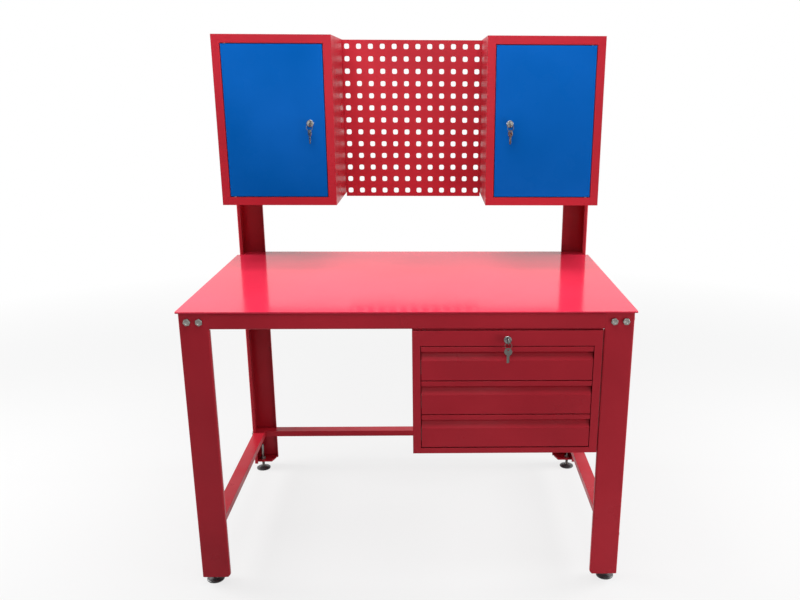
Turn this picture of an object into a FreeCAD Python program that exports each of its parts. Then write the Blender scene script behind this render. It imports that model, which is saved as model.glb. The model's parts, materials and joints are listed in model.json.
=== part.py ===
import FreeCAD
import Part
import math
import os

# Mechanical workbench: a steel worktop on two folded front legs and two tall rear
# uprights, a three-drawer unit under the right half, and two lockable wall cabinets
# with a pegboard between them.
#
# Millimetres, +X to the user's right, +Y to the back, +Z up, floor at Z = 0.
# Pieces are placed with Y = 0 at the worktop's front edge; write() then moves each one
# so that the origin lies under the middle of the whole bench.

V = FreeCAD.Vector
OVERRUN = 1.0                      # how far a cutting tool stands out of what it cuts

# Worktop
TOP_WIDTH = 1200.0
TOP_DEPTH = 800.0
TOP_HEIGHT = 810.0
TOP_SHEET = 4.0
TOP_CORNER_RADIUS = 4.0
TOP_NOTCH_GAP = 0.5                # round the uprights, where they pass the top

# Legs and uprights, folded from one sheet
LEG_SHEET = 2.5
LEG_BEND = 2.0                     # inside radius of the folds
LEG_SIDE_SETBACK = 7.5             # behind the ends of the worktop
LEG_FRONT_SETBACK = 2.5            # behind the front edge of the worktop
LEG_FACE = 78.0
LEG_DEPTH = 58.0
LEG_LIP = 12.0                     # edge turned in at the free end of the side
LEG_RETURN = 12.0                  # edge turned back at the inner end of the face
LEG_BOTTOM = 27.5
LEG_FOOT_CHAMFER = 7.0
UPRIGHT_DROP = 13.0                # below the top of the cabinets
UPRIGHT_GAP = 0.5                  # between the worktop's back edge and the uprights

# Rails under the worktop
RAIL_HEIGHT = 43.5
RAIL_TOP_FLANGE = 30.0
RAIL_TOP_LIP = 10.0
RAIL_BOTTOM_FLANGE = 20.0
RAIL_END_GAP = 0.1
PLATE_THICKNESS = 3.0              # plates that join rails and legs
PLATE_EDGE_GAP = 3.0               # above and below a plate, inside the rail
PLATE_RAIL_LAP = 72.0
PLATE_LEG_LAP = 71.0
SIDE_PLATE_LEG_LAP = 46.0
LIP_CUT_GAP = 3.0                  # below the rails, where lips and returns stop

# Hat-section stiffeners welded under the worktop
STIFFENER_SHEET = 2.0
STIFFENER_WIDTH = 40.0
STIFFENER_FLANGE = 15.0
STIFFENER_END_GAP = 1.0
CASE_STIFFENER_INSET = 62.0        # from each side of the drawer unit

# Lower stretchers, a U of rectangular tube
TUBE_WIDTH = 40.0
TUBE_HEIGHT = 20.0
TUBE_WALL = 2.0
TUBE_TOP = 150.0
TUBE_NOTCH_GAP = 1.0

# Bolts and nuts
BOLT_RADIUS = 5.0
BOLT_HOLE_RADIUS = 5.5
SHANK_SIDES = 8                    # of a shank and its hole
BOLT_HEAD = 6.4
BOLT_FLATS = 17.0
BOLT_TAIL = 2.0                    # shank that stands out of its nut
NUT_HEIGHT = 8.0
RIVET_NUT_RADIUS = 7.0
RIVET_NUT_LENGTH = 16.0
OUTER_BOLT_INSET = 22.5            # from the leg's outer corner
INNER_BOLT_INSET = 53.5
SIDE_BOLT_INSET = 34.0             # from the front of the leg
REAR_TUBE_BOLT_INSET = 40.0

# Levelling feet
FOOT_INSET_X = 27.0                # stud from the leg's outer side
FOOT_INSET_Y = 35.0                # stud from the leg's face
FOOT_PLATE = 4.0
FOOT_PLATE_GAP = 2.5               # clear of the fold at the leg's inner edge
FOOT_PLATE_CORNER = 3.0
FOOT_RADIUS = 25.0
FOOT_RIM = 5.0
FOOT_HUB_RADIUS = 10.0
FOOT_HEIGHT = 15.0
STUD_RADIUS = 5.0
STUD_BASE = 6.0
STUD_TOP = 96.0
STUD_CLEARANCE = 0.1
JAM_NUT_HEIGHT = 5.0

# Wall cabinets
CABINET_SIDE_INSET = 30.0          # from the end of the worktop
CABINET_WIDTH = 344.0
CABINET_DEPTH = 325.5
CABINET_RISE = 207.0               # above the worktop
CABINET_HEIGHT = 488.0
CABINET_SHEET = 1.5
CABINET_BORDER = 24.0
CABINET_RETURN = 19.0
CABINET_BOLT_HEIGHT = 60.0         # from the bottom and from the top
SHELF_SHEET = 1.5
SHELF_HEIGHT = 236.0               # above the cabinet's bottom
SHELF_LIP = 20.0
SHELF_SIDE_GAP = 0.5
SHELF_SETBACK = 37.0
CLIP_SIZE = 10.0
CLIP_LENGTH = 14.0
CLIP_INSET = 30.0

# Cabinet doors
DOOR_GAP = 2.25
DOOR_THICKNESS = 18.0
DOOR_SHEET = 1.5
DOOR_LIP = 10.0
PIVOT_INSET = 12.0                 # pivot from the door's outer edge
PIVOT_DEPTH = 6.0                  # pivot behind the door's face
PIVOT_RADIUS = 3.0
PIVOT_CLEARANCE = 0.05
PIVOT_REACH = 5.0                  # into the door's edge
PIVOT_HEAD_FLATS = 8.0
PIVOT_HEAD = 2.0
RUNNING_GAP = 0.3

# Locks and keys
DOOR_LOCK_EDGE = 43.5              # from the door's free edge
DOOR_LOCK_HEIGHT = 240.5           # above the cabinet's bottom
LOCK_FLANGE_RADIUS = 10.3
LOCK_FLANGE = 2.5
LOCK_FLANGE_CHAMFER = 0.8
BARREL_RADIUS = 8.0
BARREL_LENGTH = 16.0
BARREL_CLEARANCE = 0.05            # round the barrel in the sheet
LOCK_NUT_FLATS = 21.0
LOCK_NUT_HEIGHT = 4.0
PLUG_RADIUS = 6.0
PLUG_CLEARANCE = 0.05
PLUG_PROUD = 0.6
PLUG_NECK = 6.0                    # square neck that the cam fits on
PLUG_NECK_START = 16.5
CAM_PLANE = 20.0                   # front of the cam behind the door's face
CAM_THICKNESS = 2.0
CAM_WIDTH = 14.0
CAM_REACH = 57.0
CAM_SCREW_FLATS = 9.0
CAM_SCREW_HEAD = 2.0
KEY_THICKNESS = 2.0
KEY_BLADE = 7.6
KEY_BLADE_LENGTH = 20.0
KEY_CLEARANCE = 0.15
KEY_SHOULDER_GAP = 1.0
KEY_BOW_RADIUS = 10.5
KEY_BOW_OFFSET = 11.5              # bow's centre from the shoulder
KEY_HOLE_RADIUS = 2.5
KEY_HOLE_OFFSET = 5.5              # hole's centre from the bow's centre
KEY_BITS = 4
KEY_BIT_DEPTH = 1.6
RING_RADIUS = 9.0
RING_WIRE = 1.3                    # flat wire, square in section
RING_PLAY = 0.15
SPARE_TWIST = 35.0                 # degrees

# Drawer unit
CASE_LEG_GAP = 2.5
CASE_WIDTH = 502.0
CASE_DEPTH = 580.0
CASE_SHEET = 1.5
CASE_SEAM = 4.0                    # shadow gap between the front frame and the rail
FRAME_SHEET = 1.5
FRAME_STILE = 21.5
FRAME_FOOT = 16.0
DRAWER_COUNT = 3
DRAWER_FRONT = 94.3
DRAWER_GAP = 2.0
FASCIA_HEIGHT = 42.5
DRAWER_LOCK_DROP = 25.5            # below the top of the fascia
FRONT_SHEET = 1.2
FRONT_BEND = 0.8
FRONT_FLANGE = 17.0
GRIP_STRIP = 14.5
GRIP_DEPTH = 13.0
GRIP_HEIGHT = 24.0
TRAY_SHEET = 1.2
TRAY_SETBACK = 15.7                # tray's front wall behind the drawer's face
TRAY_BACK_ROOM = 52.3              # for the locking gear, behind the trays
TRAY_SIDE = 72.0
TRAY_HEM = 6.0
SLIDE_GAP = 0.5                    # between the frame's opening and the slide
SLIDE_THICKNESS = 12.7
SLIDE_SHEET = 1.2
SLIDE_HEIGHT = 40.0
SLIDE_FLANGE = 10.0
SLIDE_WEB_GAP = 0.8
SLIDE_END_GAP = 12.0               # shorter than the tray
SLIDE_CENTRE = 32.0                # above the tray's floor
BRACKET_SHEET = 1.5
BRACKET_WIDTH = 30.0
FRONT_BRACKET_SETBACK = 24.0
REAR_BRACKET_INSET = 100.0         # from the back of the case
CASE_BOLT_FRONT = 78.0
CASE_BOLT_REAR_INSET = 84.5        # from the back of the case

# Drawer locking gear: a rod turned by the plug lifts a bar whose fingers catch the
# lugs behind the trays
ROD_RADIUS = 4.0
ROD_BOSS_FLATS = 13.0
ROD_BOSS_LENGTH = 13.0
ROD_BEARING_SETBACK = 12.0         # bearing behind the trays
ROD_BEARING_THICKNESS = 2.0
ROD_BEARING_WIDTH = 30.0
ROD_BEARING_CLEARANCE = 0.05
ROD_BEARING_DROP = 12.0
CRANK_THROW = 8.0
CRANK_RADIUS = 12.0
CRANK_THICKNESS = 4.0
CRANK_SETBACK = 20.0               # crank behind the trays
CRANK_PIN_RADIUS = 2.5
CRANK_BAR_GAP = 2.0
BAR_THICKNESS = 3.0
BAR_WIDTH = 28.0
BAR_SLOT_GAP = 0.5
BAR_TOP_MARGIN = 12.0
BAR_FOOT = 20.0                    # bar's lower end above the case's floor
LUG_WIDTH = 22.0
LUG_REACH = 16.0
LUG_LIP = 12.0
LUG_SHEET = 2.0
FINGER_WIDTH = 18.0
FINGER_SHEET = 3.0
FINGER_TIP = 11.5
FINGER_DROP = 1.0                  # tip below the lug when unlocked
FINGER_TIP_GAP = 5.0               # tip behind the tray
GUIDE_WALL = 3.2
GUIDE_HEIGHT = 16.0
GUIDE_LIFT = 8.0                   # lower guide above the case's floor
GUIDE_DROP = 6.0                   # upper guide below the top tray's edge

# Pegboard
PEG_PITCH = 38.4
PEG_HOLE = 16.0
PEG_MARGIN = 6.0                   # least border beside the outer holes
PEG_SHEET = 1.5
PEG_FLANGE = 10.0
PEG_DROP = 13.5                    # below the cabinets
PEG_TOP_DROP = 0.5                 # below the top of the cabinets

# Places that follow from the sizes
LEG_OUTER = TOP_WIDTH / 2 - LEG_SIDE_SETBACK
LEG_INNER = LEG_OUTER - LEG_FACE
LEG_BACK = LEG_FRONT_SETBACK + LEG_DEPTH
RAIL_TOP = TOP_HEIGHT - TOP_SHEET
RAIL_BOTTOM = RAIL_TOP - RAIL_HEIGHT
RAIL_MIDDLE = RAIL_TOP - RAIL_HEIGHT / 2 - LEG_SHEET / 2
FLANGE_FACE = TOP_DEPTH + UPRIGHT_GAP
BENCH_BACK = FLANGE_FACE + LEG_SHEET
BENCH_MIDDLE = (LEG_FRONT_SETBACK + BENCH_BACK) / 2
TUBE_OUTER = LEG_OUTER - LEG_SHEET
TUBE_MIDDLE = TUBE_TOP - TUBE_HEIGHT / 2
CABINET_OUTER = TOP_WIDTH / 2 - CABINET_SIDE_INSET
CABINET_INNER = CABINET_OUTER - CABINET_WIDTH
CABINET_FRONT = FLANGE_FACE - CABINET_DEPTH
CABINET_BOTTOM = TOP_HEIGHT + CABINET_RISE
CABINET_TOP = CABINET_BOTTOM + CABINET_HEIGHT
UPRIGHT_TOP = CABINET_TOP - UPRIGHT_DROP
PEG_BOTTOM = CABINET_BOTTOM - PEG_DROP
PEG_TOP = CABINET_TOP - PEG_TOP_DROP
DOOR_INNER = CABINET_INNER + CABINET_BORDER + DOOR_GAP
DOOR_OUTER = CABINET_OUTER - CABINET_BORDER - DOOR_GAP
DOOR_BOTTOM = CABINET_BOTTOM + CABINET_BORDER + DOOR_GAP
DOOR_TOP = CABINET_TOP - CABINET_BORDER - DOOR_GAP
PIVOT_X = DOOR_OUTER - PIVOT_INSET
PIVOT_Y = CABINET_FRONT + PIVOT_DEPTH
DOOR_LOCK = V(DOOR_INNER + DOOR_LOCK_EDGE, CABINET_FRONT, CABINET_BOTTOM + DOOR_LOCK_HEIGHT)
CASE_RIGHT = LEG_INNER - CASE_LEG_GAP
CASE_LEFT = CASE_RIGHT - CASE_WIDTH
CASE_MIDDLE = CASE_LEFT + CASE_WIDTH / 2
CASE_TOP = RAIL_BOTTOM
CASE_BACK = LEG_FRONT_SETBACK + CASE_DEPTH
DRAWER_PITCH = DRAWER_FRONT + DRAWER_GAP
OPENING_HEIGHT = DRAWER_COUNT * DRAWER_PITCH + DRAWER_GAP
FRAME_TOP = CASE_TOP - CASE_SEAM
OPENING_TOP = FRAME_TOP - FASCIA_HEIGHT
OPENING_BOTTOM = OPENING_TOP - OPENING_HEIGHT
CASE_BOTTOM = OPENING_BOTTOM - FRAME_FOOT
OPENING_LEFT = CASE_LEFT + FRAME_STILE
OPENING_RIGHT = CASE_RIGHT - FRAME_STILE
DRAWER_LOCK = V(CASE_MIDDLE, LEG_FRONT_SETBACK, FRAME_TOP - DRAWER_LOCK_DROP)
TRAY_FRONT = LEG_FRONT_SETBACK + TRAY_SETBACK
TRAY_BACK = CASE_BACK - TRAY_BACK_ROOM
SLIDE_LENGTH = TRAY_BACK - TRAY_FRONT - SLIDE_END_GAP
SLIDE_X = OPENING_LEFT + SLIDE_GAP
TRAY_LEFT = SLIDE_X + SLIDE_THICKNESS
TRAY_RIGHT = 2 * CASE_MIDDLE - TRAY_LEFT
CRANK_FRONT = TRAY_BACK + CRANK_SETBACK
BAR_FRONT = CRANK_FRONT + CRANK_THICKNESS + CRANK_BAR_GAP
CRANK_SIDE = CRANK_THROW * math.cos(math.radians(45))
BAR_MIDDLE = CASE_MIDDLE - (CRANK_THROW + CRANK_SIDE) / 2
BAR_BOTTOM = CASE_BOTTOM + CASE_SHEET + BAR_FOOT
BAR_TOP = DRAWER_LOCK.z + BAR_TOP_MARGIN
KEY_REACH = LOCK_FLANGE + KEY_SHOULDER_GAP + KEY_BOW_OFFSET
KEY_HOLE_Y = KEY_REACH + KEY_HOLE_OFFSET
FRONT_MOST = LEG_FRONT_SETBACK - KEY_REACH - KEY_BOW_RADIUS
BACK_MOST = BENCH_BACK + BOLT_HEAD
TO_ORIGIN = V(0, -(FRONT_MOST + BACK_MOST) / 2, 0)


def box(x0, x1, y0, y1, z0, z1):
    return Part.makeBox(x1 - x0, y1 - y0, z1 - z0, V(x0, y0, z0))


def prism(points, travel):
    wire = Part.makePolygon(points + [points[0]])
    return Part.Face(wire).extrude(travel)


def rod(radius, start, end):
    axis = end - start
    return Part.makeCylinder(radius, axis.Length, start, axis)


def bar(sides, flats, start, end):
    """A straight bar with an even number of sides, which face each other `flats` apart."""
    axis = end - start
    across = axis.cross(V(0, 0, 1)) if abs(axis.z) < axis.Length / 2 else axis.cross(V(1, 0, 0))
    corner = across.normalize() * (flats / 2 / math.cos(math.pi / sides))
    turn = FreeCAD.Rotation(axis, 360 / sides)
    points = []
    for _ in range(sides):
        points.append(start + corner)
        corner = turn.multVec(corner)
    return prism(points, axis)


def hexagon(flats, start, end):
    return bar(6, flats, start, end)


def shank(radius, start, end):
    """A bolt's shank or the hole for one, with its corners at `radius`."""
    return bar(SHANK_SIDES, 2 * radius * math.cos(math.pi / SHANK_SIDES), start, end)


def mirrored_x(shape, middle=0.0):
    return shape.mirror(V(middle, 0, 0), V(1, 0, 0))


def mirrored_y(shape):
    return shape.mirror(V(0, BENCH_MIDDLE, 0), V(0, 1, 0))


def moved(shape, offset):
    copy = shape.copy()
    copy.translate(offset)
    return copy


def both_sides(shapes):
    return shapes + [mirrored_x(shape) for shape in shapes]


def four_corners(shapes):
    front = both_sides(shapes)
    return front + [mirrored_y(shape) for shape in front]


def folded(corners, sheet, bend, place, travel):
    """A folded sheet. `corners` are the sharp corners of one face as (u, v), with the
    metal on the left of the way round; `place` puts (u, v) in space."""
    count = len(corners)
    flat = [V(u, v, 0) for u, v in corners]
    ways = [(flat[i + 1] - flat[i]).normalize() for i in range(count - 1)]
    lefts = [V(-way.y, way.x, 0) for way in ways]
    near = [(flat[0], None)]
    far = [(flat[0] + lefts[0] * sheet, None)]
    for i in range(1, count - 1):
        turn = math.atan2(ways[i - 1].cross(ways[i]).z, ways[i - 1].dot(ways[i]))
        side = 1 if turn > 0 else -1
        near_radius = bend + sheet if turn > 0 else bend
        far_radius = bend if turn > 0 else bend + sheet
        run = near_radius * math.tan(abs(turn) / 2)
        first = flat[i] - ways[i - 1] * run
        last = flat[i] + ways[i] * run
        centre = first + lefts[i - 1] * (side * near_radius)
        outward = (flat[i] - centre).normalize()
        near += [(first, None), (last, centre + outward * near_radius)]
        far += [(first + lefts[i - 1] * sheet, None),
                (last + lefts[i] * sheet, centre + outward * far_radius)]
    near.append((flat[-1], None))
    far.append((flat[-1] + lefts[-1] * sheet, None))
    edges = run_edges(near, place) + run_edges(far, place)
    edges.append(Part.LineSegment(place(near[0][0]), place(far[0][0])).toShape())
    edges.append(Part.LineSegment(place(near[-1][0]), place(far[-1][0])).toShape())
    wire = Part.Wire(Part.__sortEdges__(edges))
    return Part.Face(wire).extrude(travel)


def sharp_sheet(corners, sheet, place, travel):
    """A sheet like a folded one, with sharp corners; for what stays out of sight."""
    flat = [V(u, v, 0) for u, v in corners]
    ways = [(end - start).normalize() for start, end in zip(flat, flat[1:])]
    lefts = [V(-way.y, way.x, 0) for way in ways]
    far = [flat[0] + lefts[0] * sheet]
    for before, after, corner in zip(lefts, lefts[1:], flat[1:]):
        far.append(corner + (before + after) * (sheet / (1 + before.dot(after))))
    far.append(flat[-1] + lefts[-1] * sheet)
    return prism([place(point) for point in flat + far[::-1]], travel)


def run_edges(points, place):
    edges = []
    for (start, _), (end, through) in zip(points, points[1:]):
        if through is None:
            edges.append(Part.LineSegment(place(start), place(end)).toShape())
        else:
            edges.append(Part.Arc(place(start), place(through), place(end)).toShape())
    return edges


def write(name, *shapes):
    solids = []
    for shape in shapes:
        solids += [moved(solid, TO_ORIGIN) for solid in shape.Solids]
    Part.makeCompound(solids).exportStep("parts/" + name + ".step")


# Worktop and what stiffens it

def worktop():
    half = TOP_WIDTH / 2
    top = box(-half, half, 0, TOP_DEPTH, RAIL_TOP, TOP_HEIGHT)
    front = [edge for edge in top.Edges
             if edge.BoundBox.ZLength > TOP_SHEET / 2 and edge.BoundBox.YMax < TOP_SHEET]
    top = top.makeFillet(TOP_CORNER_RADIUS, front)
    gap = TOP_NOTCH_GAP
    low = RAIL_TOP - OVERRUN
    high = TOP_HEIGHT + OVERRUN
    lip_front = BENCH_BACK - LEG_DEPTH
    side = box(LEG_OUTER - LEG_SHEET - LEG_BEND, half + OVERRUN, lip_front - gap, BENCH_BACK, low, high)
    lip = box(LEG_OUTER - LEG_LIP - gap, half, lip_front - gap,
              lip_front + LEG_SHEET + LEG_BEND, low, high)
    inner = box(LEG_INNER - gap, LEG_INNER + LEG_SHEET + LEG_BEND,
                BENCH_BACK - LEG_RETURN - gap, BENCH_BACK, low, high)
    return top.cut(both_sides([side, lip, inner]))


def stiffener(middle):
    def place(point):
        return V(point.x, start, point.y)
    start = LEG_FRONT_SETBACK + RAIL_TOP_FLANGE + STIFFENER_END_GAP
    end = 2 * BENCH_MIDDLE - start
    half = STIFFENER_WIDTH / 2
    foot = RAIL_BOTTOM + STIFFENER_SHEET
    corners = [(middle + half + STIFFENER_FLANGE, RAIL_TOP), (middle + half, RAIL_TOP),
               (middle + half, foot), (middle - half, foot),
               (middle - half, RAIL_TOP), (middle - half - STIFFENER_FLANGE, RAIL_TOP)]
    return sharp_sheet(corners, STIFFENER_SHEET, place, V(0, end - start, 0))


def stiffeners():
    holes = [shank(BOLT_HOLE_RADIUS, V(x, y, RAIL_BOTTOM - OVERRUN), V(x, y, RAIL_TOP))
             for x, y in case_bolt_places()]
    places = [(CASE_LEFT - LEG_INNER) / 2, CASE_LEFT + CASE_STIFFENER_INSET,
              CASE_RIGHT - CASE_STIFFENER_INSET]
    return [stiffener(place).cut(holes) for place in places]


# Legs, uprights, rails and stretchers

def leg(top, return_top):
    """The right front leg, or with a higher top the profile of an upright."""
    corners = [(LEG_INNER, LEG_FRONT_SETBACK + LEG_RETURN), (LEG_INNER, LEG_FRONT_SETBACK),
               (LEG_OUTER, LEG_FRONT_SETBACK), (LEG_OUTER, LEG_BACK), (LEG_OUTER - LEG_LIP, LEG_BACK)]
    body = folded(corners, LEG_SHEET, LEG_BEND, lambda point: V(point.x, point.y, LEG_BOTTOM),
                  V(0, 0, top - LEG_BOTTOM))
    cuts = leg_edge_cuts(return_top) + leg_bolt_holes() + [leg_foot_cut()]
    return body.cut(cuts).fuse(rail_tab())


def rail_tab():
    """The flat strip of a leg's face that meets the rail, where the return is cut away."""
    return box(LEG_INNER, LEG_INNER + LEG_SHEET + LEG_BEND, LEG_FRONT_SETBACK,
               LEG_FRONT_SETBACK + LEG_SHEET, RAIL_BOTTOM - LIP_CUT_GAP, RAIL_TOP)


def leg_edge_cuts(return_top):
    """Gaps in the lip and the return, for the rails, the joint plates and the tubes."""
    inside = LEG_OUTER - LEG_SHEET
    face_back = LEG_FRONT_SETBACK + LEG_SHEET
    rail_low = RAIL_BOTTOM - LIP_CUT_GAP
    fold = LEG_SHEET + LEG_BEND
    return_end = LEG_FRONT_SETBACK + LEG_RETURN + OVERRUN
    lip_at_rail = box(LEG_OUTER - LEG_LIP - OVERRUN, inside, LEG_BACK - fold, LEG_BACK + OVERRUN,
                      rail_low, RAIL_TOP)
    return_at_rail = box(LEG_INNER - OVERRUN, LEG_INNER + fold, face_back, return_end,
                         rail_low, RAIL_TOP)
    return_above = box(LEG_INNER - OVERRUN, LEG_INNER + fold, face_back, return_end,
                       return_top, UPRIGHT_TOP + OVERRUN)
    tube_low = TUBE_TOP - TUBE_HEIGHT - TUBE_NOTCH_GAP
    tube_high = TUBE_TOP + TUBE_NOTCH_GAP
    lip_at_tube = box(LEG_OUTER - LEG_LIP - OVERRUN, inside, LEG_BACK - fold, LEG_BACK + OVERRUN,
                      tube_low, tube_high)
    return [lip_at_rail, return_at_rail, return_above, lip_at_tube]


def rear_tube_cut():
    """Gap in an upright's return where the rear stretcher passes."""
    return box(LEG_INNER - OVERRUN, LEG_INNER + LEG_SHEET + LEG_BEND,
               FLANGE_FACE - LEG_RETURN - OVERRUN, FLANGE_FACE,
               TUBE_TOP - TUBE_HEIGHT - TUBE_NOTCH_GAP, TUBE_TOP + TUBE_NOTCH_GAP)


def leg_foot_cut():
    low = LEG_BOTTOM - OVERRUN
    corner = LEG_FOOT_CHAMFER + OVERRUN
    points = [V(LEG_INNER - OVERRUN, 0, low), V(LEG_INNER - OVERRUN + corner, 0, low),
              V(LEG_INNER - OVERRUN, 0, low + corner)]
    return prism(points, V(0, LEG_BACK, 0))


def face_bolt_places():
    return [LEG_OUTER - OUTER_BOLT_INSET, LEG_OUTER - INNER_BOLT_INSET]


def leg_bolt_holes():
    holes = []
    face_end = LEG_FRONT_SETBACK + LEG_SHEET + OVERRUN
    for x in face_bolt_places():
        holes.append(shank(BOLT_HOLE_RADIUS, V(x, 0, RAIL_MIDDLE), V(x, face_end, RAIL_MIDDLE)))
    y = LEG_FRONT_SETBACK + SIDE_BOLT_INSET
    for z in (RAIL_MIDDLE, TUBE_MIDDLE):
        start = V(LEG_OUTER - LEG_SHEET - OVERRUN, y, z)
        holes.append(shank(BOLT_HOLE_RADIUS, start, V(LEG_OUTER + OVERRUN, y, z)))
    return holes


def upright():
    body = mirrored_y(leg(UPRIGHT_TOP, CABINET_BOTTOM - LIP_CUT_GAP))
    holes = [shank(BOLT_HOLE_RADIUS, V(x, FLANGE_FACE - OVERRUN, z), V(x, BENCH_BACK + OVERRUN, z))
             for x, z in cabinet_bolt_places() + [rear_tube_bolt_place()]]
    return body.cut(holes + [rear_tube_cut()])


def rail_corners(face, sign):
    """A rail's channel seen from its end; `face` is the outside of its web."""
    top_end = face + sign * RAIL_TOP_FLANGE
    return [(top_end, RAIL_TOP - RAIL_TOP_LIP), (top_end, RAIL_TOP), (face, RAIL_TOP),
            (face, RAIL_BOTTOM), (face + sign * RAIL_BOTTOM_FLANGE, RAIL_BOTTOM)]


def front_rail():
    half = LEG_INNER - RAIL_END_GAP
    corners = rail_corners(LEG_FRONT_SETBACK, 1)
    return folded(corners, LEG_SHEET, LEG_BEND, lambda point: V(-half, point.x, point.y),
                  V(2 * half, 0, 0))


def side_rail():
    start = LEG_BACK + RAIL_END_GAP
    length = 2 * (BENCH_MIDDLE - start)
    corners = rail_corners(-LEG_OUTER, 1)
    left = folded(corners, LEG_SHEET, LEG_BEND, lambda point: V(point.x, start, point.y),
                  V(0, length, 0))
    return mirrored_x(left)


def joint_plates():
    """One plate behind the face and one inside the side of the right front leg."""
    low = RAIL_BOTTOM + LEG_SHEET + PLATE_EDGE_GAP
    high = RAIL_TOP - LEG_SHEET - PLATE_EDGE_GAP
    face_back = LEG_FRONT_SETBACK + LEG_SHEET
    face = box(LEG_INNER - PLATE_RAIL_LAP, LEG_INNER + PLATE_LEG_LAP,
               face_back, face_back + PLATE_THICKNESS, low, high)
    holes = [shank(BOLT_HOLE_RADIUS, V(x, 0, RAIL_MIDDLE), V(x, LEG_BACK, RAIL_MIDDLE))
             for x in face_bolt_places()]
    inside = LEG_OUTER - LEG_SHEET
    side = box(inside - PLATE_THICKNESS, inside, LEG_BACK - SIDE_PLATE_LEG_LAP,
               LEG_BACK + PLATE_RAIL_LAP, low, high)
    y = LEG_FRONT_SETBACK + SIDE_BOLT_INSET
    hole = shank(BOLT_HOLE_RADIUS, V(LEG_INNER, y, RAIL_MIDDLE), V(LEG_OUTER, y, RAIL_MIDDLE))
    return [face.cut(holes), side.cut(hole)]


def side_stretcher():
    """The right-hand tube, mitred at the back to meet the rear one."""
    front = LEG_FRONT_SETBACK + LEG_SHEET + LEG_BEND
    outer = tube_plan(front, 0)
    inner = tube_plan(front - OVERRUN, TUBE_WALL)
    body = prism(at_height(outer, TUBE_TOP - TUBE_HEIGHT), V(0, 0, TUBE_HEIGHT))
    hollow = prism(at_height(inner, TUBE_TOP - TUBE_HEIGHT + TUBE_WALL),
                   V(0, 0, TUBE_HEIGHT - 2 * TUBE_WALL))
    front_y = LEG_FRONT_SETBACK + SIDE_BOLT_INSET
    holes = [shank(RIVET_NUT_RADIUS, V(TUBE_OUTER - TUBE_WALL - OVERRUN, y, TUBE_MIDDLE),
                   V(TUBE_OUTER + OVERRUN, y, TUBE_MIDDLE))
             for y in (front_y, 2 * BENCH_MIDDLE - front_y)]
    return body.cut([hollow] + holes)


def tube_plan(front, wall):
    """A side tube from above; its back corner is cut off to clear the upright's fold."""
    inner = TUBE_OUTER - TUBE_WIDTH + wall
    outer = TUBE_OUTER - wall
    back = FLANGE_FACE - wall
    return [(inner, front), (outer, front), (outer, back - LEG_BEND),
            (outer - LEG_BEND / 2, back - LEG_BEND / 2), (inner, FLANGE_FACE - TUBE_WIDTH + wall)]


def at_height(plan, height):
    return [V(x, y, height) for x, y in plan]


def rear_stretcher():
    def plan(wall):
        half_back = TUBE_OUTER - wall
        half_front = TUBE_OUTER - TUBE_WIDTH + wall
        back = FLANGE_FACE - wall
        front = FLANGE_FACE - TUBE_WIDTH + wall
        corner = [(half_front, front), (half_back - LEG_BEND / 2, back - LEG_BEND / 2),
                  (half_back - LEG_BEND, back)]
        return corner + [(-x, y) for x, y in corner[::-1]]
    body = prism(at_height(plan(0), TUBE_TOP - TUBE_HEIGHT), V(0, 0, TUBE_HEIGHT))
    hollow = prism(at_height(plan(TUBE_WALL), TUBE_TOP - TUBE_HEIGHT + TUBE_WALL),
                   V(0, 0, TUBE_HEIGHT - 2 * TUBE_WALL))
    x, z = rear_tube_bolt_place()
    hole = shank(RIVET_NUT_RADIUS, V(x, FLANGE_FACE - TUBE_WALL - OVERRUN, z), V(x, BENCH_BACK, z))
    return body.cut([hollow] + both_sides([hole]))


# Bolts and nuts of the frame

def bolt(seat, way, length):
    """A bolt whose head sits on `seat` and whose shank runs along `way`."""
    head = hexagon(BOLT_FLATS, seat - way * BOLT_HEAD, seat)
    return head.fuse(shank(BOLT_RADIUS, seat, seat + way * length))


def nut(seat, way, height=NUT_HEIGHT, flats=BOLT_FLATS):
    body = hexagon(flats, seat, seat + way * height)
    return body.cut(shank(BOLT_RADIUS, seat - way, seat + way * (height + OVERRUN)))


def rivet_nut(seat, way):
    body = shank(RIVET_NUT_RADIUS, seat, seat + way * RIVET_NUT_LENGTH)
    return body.cut(shank(BOLT_RADIUS, seat - way, seat + way * (RIVET_NUT_LENGTH + OVERRUN)))


def rear_tube_bolt_place():
    return TUBE_OUTER - REAR_TUBE_BOLT_INSET, TUBE_MIDDLE


def cabinet_bolt_places():
    x = (LEG_INNER + CABINET_OUTER) / 2
    return [(x, CABINET_BOTTOM + CABINET_BOLT_HEIGHT), (x, CABINET_TOP - CABINET_BOLT_HEIGHT)]


def case_bolt_places():
    xs = (CASE_LEFT + CASE_STIFFENER_INSET, CASE_RIGHT - CASE_STIFFENER_INSET)
    return [(x, y) for x in xs for y in (CASE_BOLT_FRONT, CASE_BACK - CASE_BOLT_REAR_INSET)]


def corner_bolts():
    """Bolts and nuts at the right front leg: two in the face, two in the side."""
    back = V(0, 1, 0)
    inward = V(-1, 0, 0)
    grip = LEG_SHEET + PLATE_THICKNESS
    length = grip + NUT_HEIGHT + BOLT_TAIL
    bolts = []
    nuts = []
    for x in face_bolt_places():
        seat = V(x, LEG_FRONT_SETBACK, RAIL_MIDDLE)
        bolts.append(bolt(seat, back, length))
        nuts.append(nut(seat + back * grip, back))
    y = LEG_FRONT_SETBACK + SIDE_BOLT_INSET
    seat = V(LEG_OUTER, y, RAIL_MIDDLE)
    bolts.append(bolt(seat, inward, length))
    nuts.append(nut(seat + inward * grip, inward))
    seat = V(LEG_OUTER, y, TUBE_MIDDLE)
    bolts.append(bolt(seat, inward, LEG_SHEET + RIVET_NUT_LENGTH))
    nuts.append(rivet_nut(seat + inward * LEG_SHEET, inward))
    return bolts, nuts


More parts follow.
